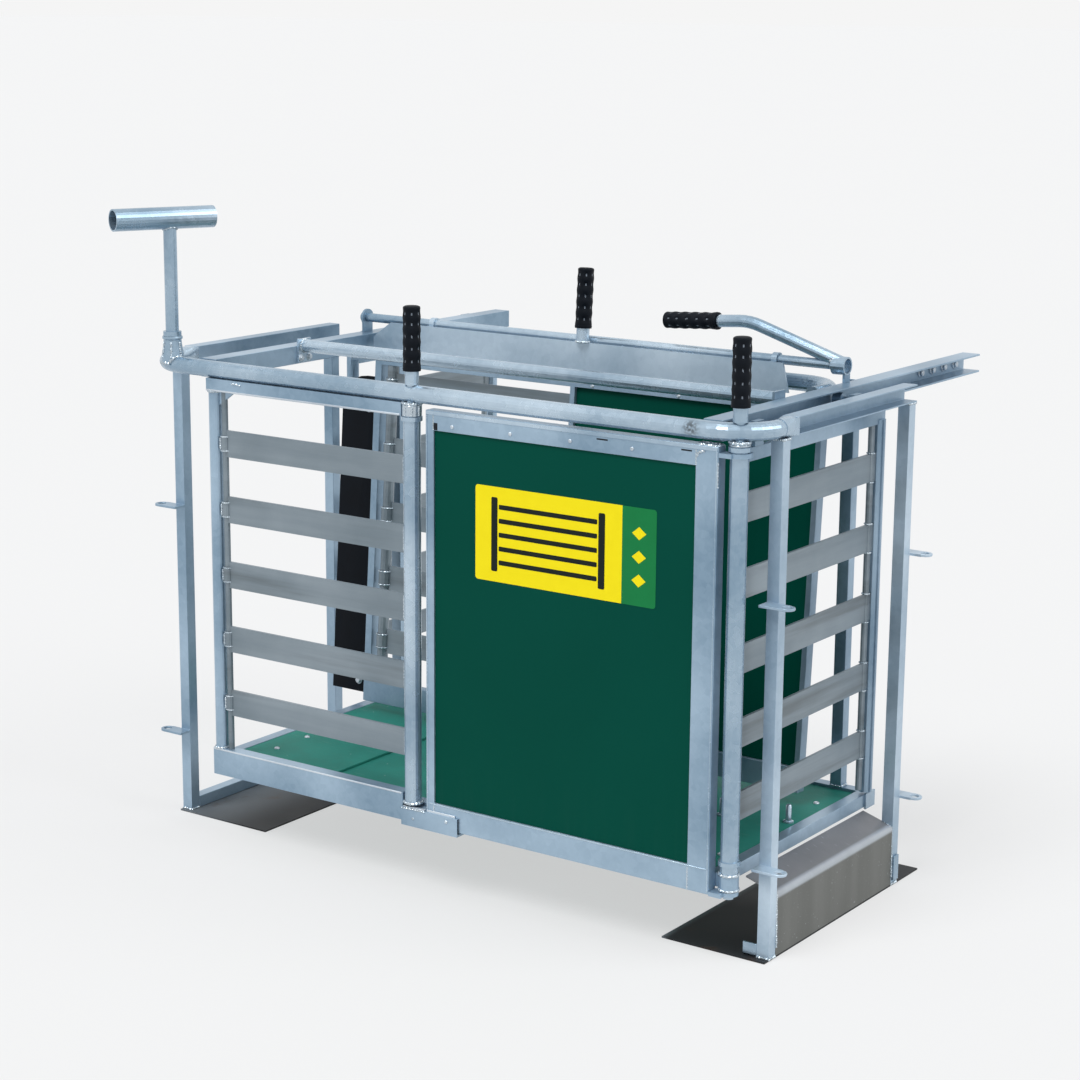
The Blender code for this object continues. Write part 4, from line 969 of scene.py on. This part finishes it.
WALL_SLATS = [0.895 - 0.141 * i for i in range(5)]
WALL_ROD = (-0.484, 0.183)
STRAPS_X = (-0.300, 0.060, 0.420)
EYES_X = (-0.392, 0.450)
bm = bmesh.new()
for z in WALL_SLATS:
    for edge in (-0.0145, 0.0145):
        add_weld(bm, ring_line(leaned(*WALL_ROD, z + edge), 0.0145, WALL_UP), 0.0018, True, 6)
for x in STRAPS_X:
    for edge in (-0.0150, 0.0150):
        add_weld(bm, [leaned(x + edge, 0.1800, 0.9525), leaned(x + edge, 0.1800, 0.9730)], 0.0018)
for x in EYES_X:
    for edge in (-0.0062, 0.0062):
        add_weld(bm, [leaned(x + edge, 0.1856, 1.0140), leaned(x + edge, 0.1856, 1.0300)], 0.0017)
add_weld(bm, ring_line(leaned(*HANDLE, 1.0325), 0.0138, WALL_UP), 0.0022, True)
finished("wall_welds", bm, "wall", "galvanised", weld)


# Lever: the arm is a bent round tube, welded with a full run to the open sleeve on the shaft. The hand
# grip is pushed over its other end, up to a thin bead.

SLEEVE_FACE = Vector((0.5770, 0.203, 1.0415))
LEVER_BEND = Vector((0.387, 0.203, 1.105))
arm_run = (SLEEVE_FACE - LEVER_BEND).normalized()
bm = bmesh.new()
add_weld(bm, ring_line(SLEEVE_FACE - arm_run * 0.002, 0.0128, arm_run), 0.0028, True)
add_weld(bm, ring_line(LEVER_GRIP_START - grip_run * 0.003, 0.0118, grip_run), 0.0012, True, 6)
finished("lever_welds", bm, "lever", "galvanised", weld)


# Socket of the indicator holder: welded on the front tube's bend by a run that follows the round tube, with
# four upright runs on its flank, and a run that joins the turning T's mast to its head.

SOCKET = Vector((-0.653, -0.3306, 0.0))
ACROSS_BEND = Vector((-0.311, -0.950, 0.0))
bm = bmesh.new()
flare = [(0.0228, 0.9905), (0.0232, 1.0000), (0.0222, 1.0080), (0.0200, 1.0200), (0.0186, 1.0320)]
flare += [(0.0182, 1.0380), (0.0206, 1.0400), (0.0208, 1.0430), (0.0200, 1.0450), (0.0145, 1.0450)]
add_turned(bm, flare, SOCKET, (0, 0, 1), 40)
cup = finished("flared_socket", bm, "stand", "galvanised", tube_steel)
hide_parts("socket")

bm = bmesh.new()
seat = []
for spot in ring_line(SOCKET, 0.0222):
    off = (spot - SOCKET).dot(ACROSS_BEND)
    seat.append((spot.x, spot.y, TOP_TUBE_Z + math.sqrt(max(TUBE_R**2 - off * off, 0.003**2))))
add_weld(bm, seat, 0.0032, True)
for degrees in (-110, -55, 0, 120):
    turn = math.radians(degrees)
    out = Vector((math.cos(turn), math.sin(turn), 0.0))
    run = [(0.0226, 1.0030), (0.0218, 1.0100), (0.0198, 1.0220), (0.0186, 1.0340)]
    add_weld(bm, [SOCKET + out * radius + Vector((0, 0, z)) for radius, z in run], 0.0021)
finished("socket_welds", bm, "stand", "galvanised", weld)

BAR_TURN = math.radians(67.0)
BAR_Z = 1.283
BAR_R = 0.0225
BAR_ACROSS = Vector((-math.sin(BAR_TURN), math.cos(BAR_TURN), 0.0))
bm = bmesh.new()
neck = []
for spot in ring_line(SOCKET, 0.0139):
    off = (spot - SOCKET).dot(BAR_ACROSS)
    neck.append((spot.x, spot.y, BAR_Z - math.sqrt(BAR_R**2 - off * off)))
add_weld(bm, neck, 0.0022, True)
finished("holder_weld", bm, "holder", "galvanised", weld)
